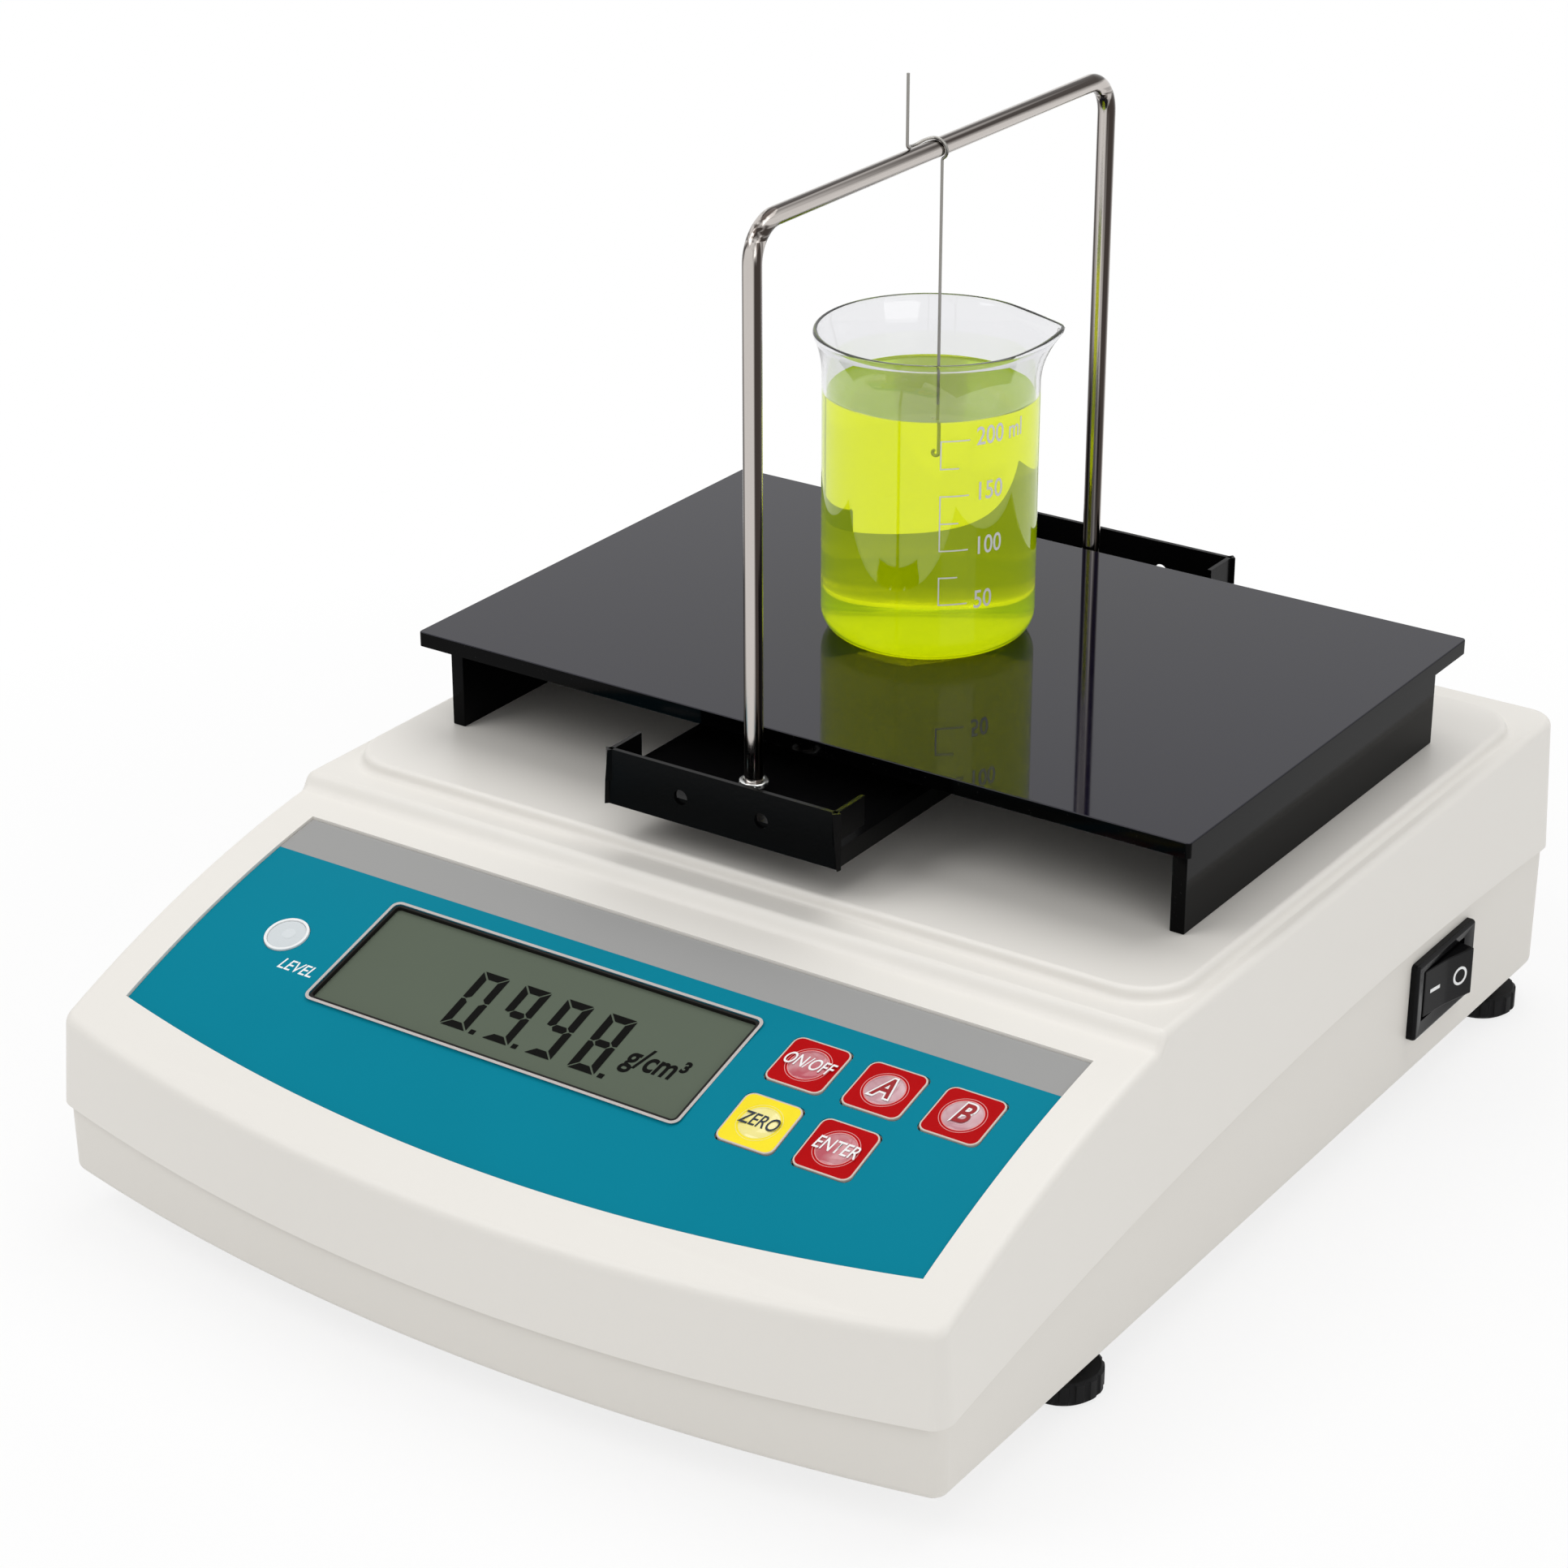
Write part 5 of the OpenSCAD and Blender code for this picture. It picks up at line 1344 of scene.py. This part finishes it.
def make_marks(s, colours):
    """White volume marks, laid round the glass."""
    r, parts = s.diameter / 2, []
    for step, words in enumerate(("200 ml", "150", "100", "50")):
        z = s.top_mark - step * s.mark_step
        lines = [(0.0, z, 0.0096, 0.00045)]
        if step < 3:
            lines.append((0.0, z - s.mark_step / 2, 0.0062, 0.00045))
        if step != 3:
            run = s.mark_step * (1.0 if step == 1 else 0.5)
            lines.append((0.0, z - run - (s.mark_step / 2 if step == 2 else 0.0), 0.00045, run))
        for x, low, w, h in lines:
            line = new("grid", "line", x_subdivisions=12, y_subdivisions=1, size=1, location=(x + w / 2, low + h / 2, 0))
            line.scale = (w, h, 1)
            settle(line)
            modify(line, "SOLIDIFY", thickness=0.00005, offset=0)
            parts.append(line)
        text = lettering("number", words, 0.0086, 0.00005, 0.0, "LEFT", 0.8, 0.00006)
        text.location = (0.0117, z + 0.0008, 0)
        parts.append(settle(text))
    marks = join("beaker_marks", *parts)
    with Shaping(marks) as work:
        def wrapped(co):
            a = s.marks_at + co.x / r
            out = r + 0.00006 + co.z
            return Vector((s.x + out * math.cos(a), s.y + out * math.sin(a), s.base + co.y))

        work.move(wrapped)
        work.face_out()
    finish_piece(marks, "glassware", paint("glass_print", ink, colours.glass_print, 0.4), ())


# ---- Power switch ----

def make_switch(scene):
    s = scene.switch_sizes
    side = Matrix.Translation((s.x, s.y, s.z)) @ FACING_RIGHT
    black = paint("switch_black", soft_rubber, (0.003, 0.003, 0.0035), 0.2, 0.000004, 1400.0, 0.1)
    bezel = rounded("switch_bezel", s.long, s.high, 0.0, 0.0032, 0.0014, 0.0013)
    body = rounded("switch_can", s.long - 0.0068, s.high - 0.0068, -0.022, 0.001, 0.0008)
    unite(bezel, body)
    flare = new("cone", "flare", vertices=4, radius1=0.0129, radius2=0.0188, depth=0.0014, location=(0, 0, 0.0027),
                rotation=(0, 0, math.radians(45)))
    settle(flare)
    with Shaping(flare, "VERT") as work:
        work.all()
        bpy.ops.transform.resize(value=(1.61, 1.0, 1.0), center_override=(0, 0, 0))
    cut(bezel, flare)
    cut(bezel, rounded("hollow", 0.0306, 0.0182, -0.012, 0.01, 0.0006))
    shade(bezel)
    place(bezel, side)
    finish_piece(bezel, "housing", black, ["switch_body"])
    r, half_w, level = 0.0128, 0.0084, 0.0091
    rise = 0.0008
    outline = [(-0.006, -0.003), (-r, 0.0022), (-r, level + rise)]
    outline += [(-r + 2 * r * k / 24, level + rise * ((abs(-r + 2 * r * k / 24) / r) ** 1.25)) for k in range(1, 24)]
    outline += [(r, level + rise), (r, 0.0022), (0.006, -0.003)]
    rocker = flat_shape("switch_paddle", outline, 2 * half_w, -half_w)
    soften(rocker, 0.0004, 3, 40)
    shade(rocker, 35)
    marks = []
    for y, kind in ((-0.0066, "I"), (0.0066, "O")):
        z = level + rise * ((abs(y) / r) ** 1.25)
        if kind == "I":
            mark = block("mark", (-0.00275, -0.00065, 0), (0.00275, 0.00065, 0.0001), 0.00004, 1)
        else:
            mark = washer("mark", [(0.0024, 0), (0.0033, 0), (0.0033, 0.0001), (0.0024, 0.0001)], 40)
        tilt = math.atan(rise * 1.25 * ((abs(y) / r) ** 0.25) / r) * (1 if y > 0 else -1)
        marks.append(place(mark, Matrix.Translation((y, 0, z + 0.00002)) @ Matrix.Rotation(-tilt, 4, "Y")))
    marks = join("switch_marks", *marks)
    tip = Matrix.Rotation(-s.lean, 4, "Z")
    stand = Matrix.Translation((s.x - 0.005, s.y + 0.0011, s.z)) @ tip
    lay = Matrix(((0, 1, 0, 0), (1, 0, 0, 0), (0, 0, -1, 0), (0, 0, 0, 1)))
    place(rocker, stand @ lay)
    with Shaping(rocker) as work:
        work.face_out()
    place(marks, stand @ FACING_RIGHT)
    finish_piece(rocker, "rocker", black, ["switch_rocker"])
    finish_piece(marks, "rocker", white_print(), ())


# ---- Fixings and works: solids of the model that keep their shape ----

def dress_works():
    zinc = paint("zinc_screw", bright_metal, (0.55, 0.56, 0.57), 0.3, (1, 1, 1))
    alloy = paint("milled_alloy", bright_metal, (0.62, 0.63, 0.65), 0.35, (1, 0.05, 1))
    rubber = paint("foot_rubber", soft_rubber, (0.012, 0.012, 0.0125), 0.5)
    plastic = paint("black_moulding", soft_rubber, (0.02, 0.02, 0.021), 0.4)
    brass = paint("turned_brass", bright_metal, (0.62, 0.43, 0.16), 0.3, (1, 1, 1))
    board = paint("green_board", board_laminate)
    finishes = {board: ["display_board", "main_board"], plastic: ["push_switches", "board_parts", "power_jack"],
                zinc: ["board_screws", "cell_screws", "overload_stop", "rod_nuts", "case_screws", "serial_port"],
                alloy: ["load_cell", "cell_base", "pan_bridge", "pan_carrier"], rubber: ["buffers"], brass: ["foot_inserts"]}
    for corner in FEET:
        finishes[zinc].append("stud_" + corner)
        finishes[rubber].append("wheel_" + corner)
    for material, names in finishes.items():
        for name in names:
            slots = NODES[name].material_slots
            if not slots:
                NODES[name].data.materials.append(material)
            for spot in NODES[name].material_slots:
                spot.material = material


# ---- Stage ----

AIR_LIGHT, AIR_SEEN = 0.55, 1.0  # strength of the world on the object, and as it is seen
SOFTBOXES = {  # place, aim, width, depth, watts
    "key_softbox": ((-0.9, -1.1, 1.7), (0, 0, 0.1), 1.2, 1.2, 12),
    "top_softbox": ((0.1, 0.5, 1.6), (0, 0.05, 0.1), 1.6, 1.2, 10),
    "fill_softbox": ((1.6, -0.7, 0.8), (0, 0, 0.08), 1.2, 1.0, 5),
}
CAMERA_SPOT = (0.6123, -0.9292, 0.6304)
CAMERA_BACK = (0.5096, -0.7513, 0.4193)  # from the object toward the camera
CAMERA_RIGHT = (0.8276, 0.5613, 0.0)
LENS_MM, SENSOR_MM = 88.36, 36.0


def backdrop_finish(name, base, ground):
    """A plain surface that the camera, mirrors and glass see as the backdrop's own colour."""
    r = Recipe(name)
    path = r.add("ShaderNodeLightPath")
    seen = (path["Is Camera Ray"] + path["Is Glossy Ray"] + path["Is Transmission Ray"]).limited()
    lit = r.add("ShaderNodeBsdfDiffuse", None, {"Color": rgb(base, 0.9)})["BSDF"]
    glow = r.add("ShaderNodeEmission", None, {"Color": rgb(base), "Strength": 1.0})["Emission"]
    x, y, _ = r.axes()
    away = ((x * x + y * y - 0.09) * 6.0).limited()
    share = seen * (away * 0.22 + 0.78 if ground else 1.0)
    mixed = r.add("ShaderNodeMixShader", None, {0: share, 1: lit, 2: glow})[0]
    r.add("ShaderNodeOutputMaterial", None, {"Surface": mixed})
    return r.material


def softbox(name, place_at, aim, width, depth, watts):
    put_down()
    bpy.ops.object.light_add(type="AREA", location=place_at)
    lamp = bpy.context.object
    lamp.name = name
    lamp.data.shape = "RECTANGLE"
    lamp.data.size, lamp.data.size_y = width, depth
    lamp.data.energy = watts
    lamp.rotation_euler = (Vector(aim) - Vector(place_at)).to_track_quat("-Z", "Y").to_euler()
    return lamp


def set_air(scene):
    """A world that lights softly, and that the camera, mirrors and glass see as white."""
    scene.world = bpy.data.worlds.new("studio_air")
    scene.world.use_nodes = True
    tree = scene.world.node_tree
    tree.nodes.clear()
    mix = tree.nodes.new("ShaderNodeMixShader")
    for socket, strength in ((1, AIR_LIGHT), (2, AIR_SEEN)):
        air = tree.nodes.new("ShaderNodeBackground")
        air.inputs["Color"].default_value = (1, 1, 1, 1)
        air.inputs["Strength"].default_value = strength
        tree.links.new(air.outputs[0], mix.inputs[socket])
    path = tree.nodes.new("ShaderNodeLightPath")
    seen = path.outputs["Is Camera Ray"]
    for ray in ("Is Glossy Ray", "Is Transmission Ray"):
        either = tree.nodes.new("ShaderNodeMath")
        either.operation = "MAXIMUM"
        tree.links.new(seen, either.inputs[0])
        tree.links.new(path.outputs[ray], either.inputs[1])
        seen = either.outputs[0]
    tree.links.new(seen, mix.inputs[0])
    out = tree.nodes.new("ShaderNodeOutputWorld")
    tree.links.new(mix.outputs[0], out.inputs[0])


def set_stage(scene):
    colours = scene.finish_colours
    floor = new("plane", "studio_floor", size=6, location=(0, 0, 0))
    with Shaping(floor) as work:
        work.all()
        bpy.ops.mesh.subdivide(number_cuts=3)
    floor.data.materials.append(backdrop_finish("studio_floor_paint", colours.backdrop, True))
    set_air(scene)
    for name, values in SOFTBOXES.items():
        softbox(name, *values)
    scene.view_settings.view_transform = "Standard"


def set_camera(scene):
    """The camera stands where the photograph's stood, and looks the same way."""
    back, right = Vector(CAMERA_BACK).normalized(), Vector(CAMERA_RIGHT).normalized()
    up = back.cross(right)
    data = bpy.data.cameras.new("photo_camera")
    data.sensor_fit = "AUTO"
    data.sensor_width = SENSOR_MM
    data.lens = LENS_MM
    camera = bpy.data.objects.new("photo_camera", data)
    scene.collection.objects.link(camera)
    camera.matrix_world = Matrix.Translation(CAMERA_SPOT) @ Matrix((right, up, back)).transposed().to_4x4()
    scene.camera = camera


# ---- Operators and panel ----

class DENSITY_OT_stage(bpy.types.Operator):
    """Set up the camera, the floor and the lights"""
    bl_idname = "density.stage"
    bl_label = "Stage"

    def execute(self, context):
        set_camera(context.scene)
        set_stage(context.scene)
        return {"FINISHED"}


class DENSITY_OT_case(bpy.types.Operator):
    """Make the moulded cover with its plateau, and the lower case"""
    bl_idname = "density.case"
    bl_label = "Case"

    def execute(self, context):
        make_cover(context.scene)
        make_lower_case(context.scene)
        return {"FINISHED"}


class DENSITY_OT_panel(bpy.types.Operator):
    """Make the printed film, the display and the level"""
    bl_idname = "density.panel"
    bl_label = "Panel"

    def execute(self, context):
        make_film(context.scene)
        make_display(context.scene)
        make_level(context.scene)
        return {"FINISHED"}


class DENSITY_OT_keys(bpy.types.Operator):
    """Make the five keys"""
    bl_idname = "density.keys"
    bl_label = "Keys"

    def execute(self, context):
        for node in KEY_PLACES:
            make_key(context.scene, node)
        return {"FINISHED"}


class DENSITY_OT_weighing(bpy.types.Operator):
    """Make the weighing tray and the rod frame"""
    bl_idname = "density.weighing"
    bl_label = "Tray and rods"

    def execute(self, context):
        make_tray(context.scene)
        make_rods(context.scene)
        return {"FINISHED"}


class DENSITY_OT_hook(bpy.types.Operator):
    """Make the hook wire"""
    bl_idname = "density.hook"
    bl_label = "Hook wire"

    def execute(self, context):
        make_hook(context.scene)
        return {"FINISHED"}


class DENSITY_OT_table(bpy.types.Operator):
    """Make the acrylic table"""
    bl_idname = "density.table"
    bl_label = "Table"

    def execute(self, context):
        make_table(context.scene)
        return {"FINISHED"}


class DENSITY_OT_beaker(bpy.types.Operator):
    """Make the beaker and its liquid"""
    bl_idname = "density.beaker"
    bl_label = "Beaker"

    def execute(self, context):
        make_beaker(context.scene)
        return {"FINISHED"}


class DENSITY_OT_switch(bpy.types.Operator):
    """Make the power switch"""
    bl_idname = "density.switch"
    bl_label = "Power switch"

    def execute(self, context):
        make_switch(context.scene)
        return {"FINISHED"}


class DENSITY_OT_works(bpy.types.Operator):
    """Give the feet, the fixings and the works inside their finishes"""
    bl_idname = "density.works"
    bl_label = "Feet and works"

    def execute(self, context):
        dress_works()
        return {"FINISHED"}


STEPS = ("stage", "case", "panel", "keys", "weighing", "hook", "table", "beaker", "switch", "works")


class DENSITY_PT_sidebar(bpy.types.Panel):
    """Lists the meter's pieces and their sizes"""
    bl_label = "Density meter"
    bl_idname = "DENSITY_PT_sidebar"
    bl_space_type = "VIEW_3D"
    bl_region_type = "UI"
    bl_category = "Density meter"

    def draw(self, context):
        for step in STEPS:
            self.layout.operator("density." + step)
        for group, kind in GROUPS.items():
            box = self.layout.box()
            box.label(text=kind.__name__)
            for name in kind.__annotations__:
                box.prop(getattr(context.scene, group), name)


OPERATORS = (DENSITY_OT_stage, DENSITY_OT_case, DENSITY_OT_panel, DENSITY_OT_keys, DENSITY_OT_weighing, DENSITY_OT_hook,
             DENSITY_OT_table, DENSITY_OT_beaker, DENSITY_OT_switch, DENSITY_OT_works)


def register():
    for kind in (*GROUPS.values(), *OPERATORS, DENSITY_PT_sidebar):
        bpy.utils.register_class(kind)
    for name, kind in GROUPS.items():
        setattr(bpy.types.Scene, name, bpy.props.PointerProperty(type=kind))


def unregister():
    for name in GROUPS:
        delattr(bpy.types.Scene, name)
    for kind in reversed((*GROUPS.values(), *OPERATORS, DENSITY_PT_sidebar)):
        bpy.utils.unregister_class(kind)


def main():
    register()
    for step in STEPS:
        getattr(bpy.ops.density, step)()


if __name__ == "__main__":
    main()
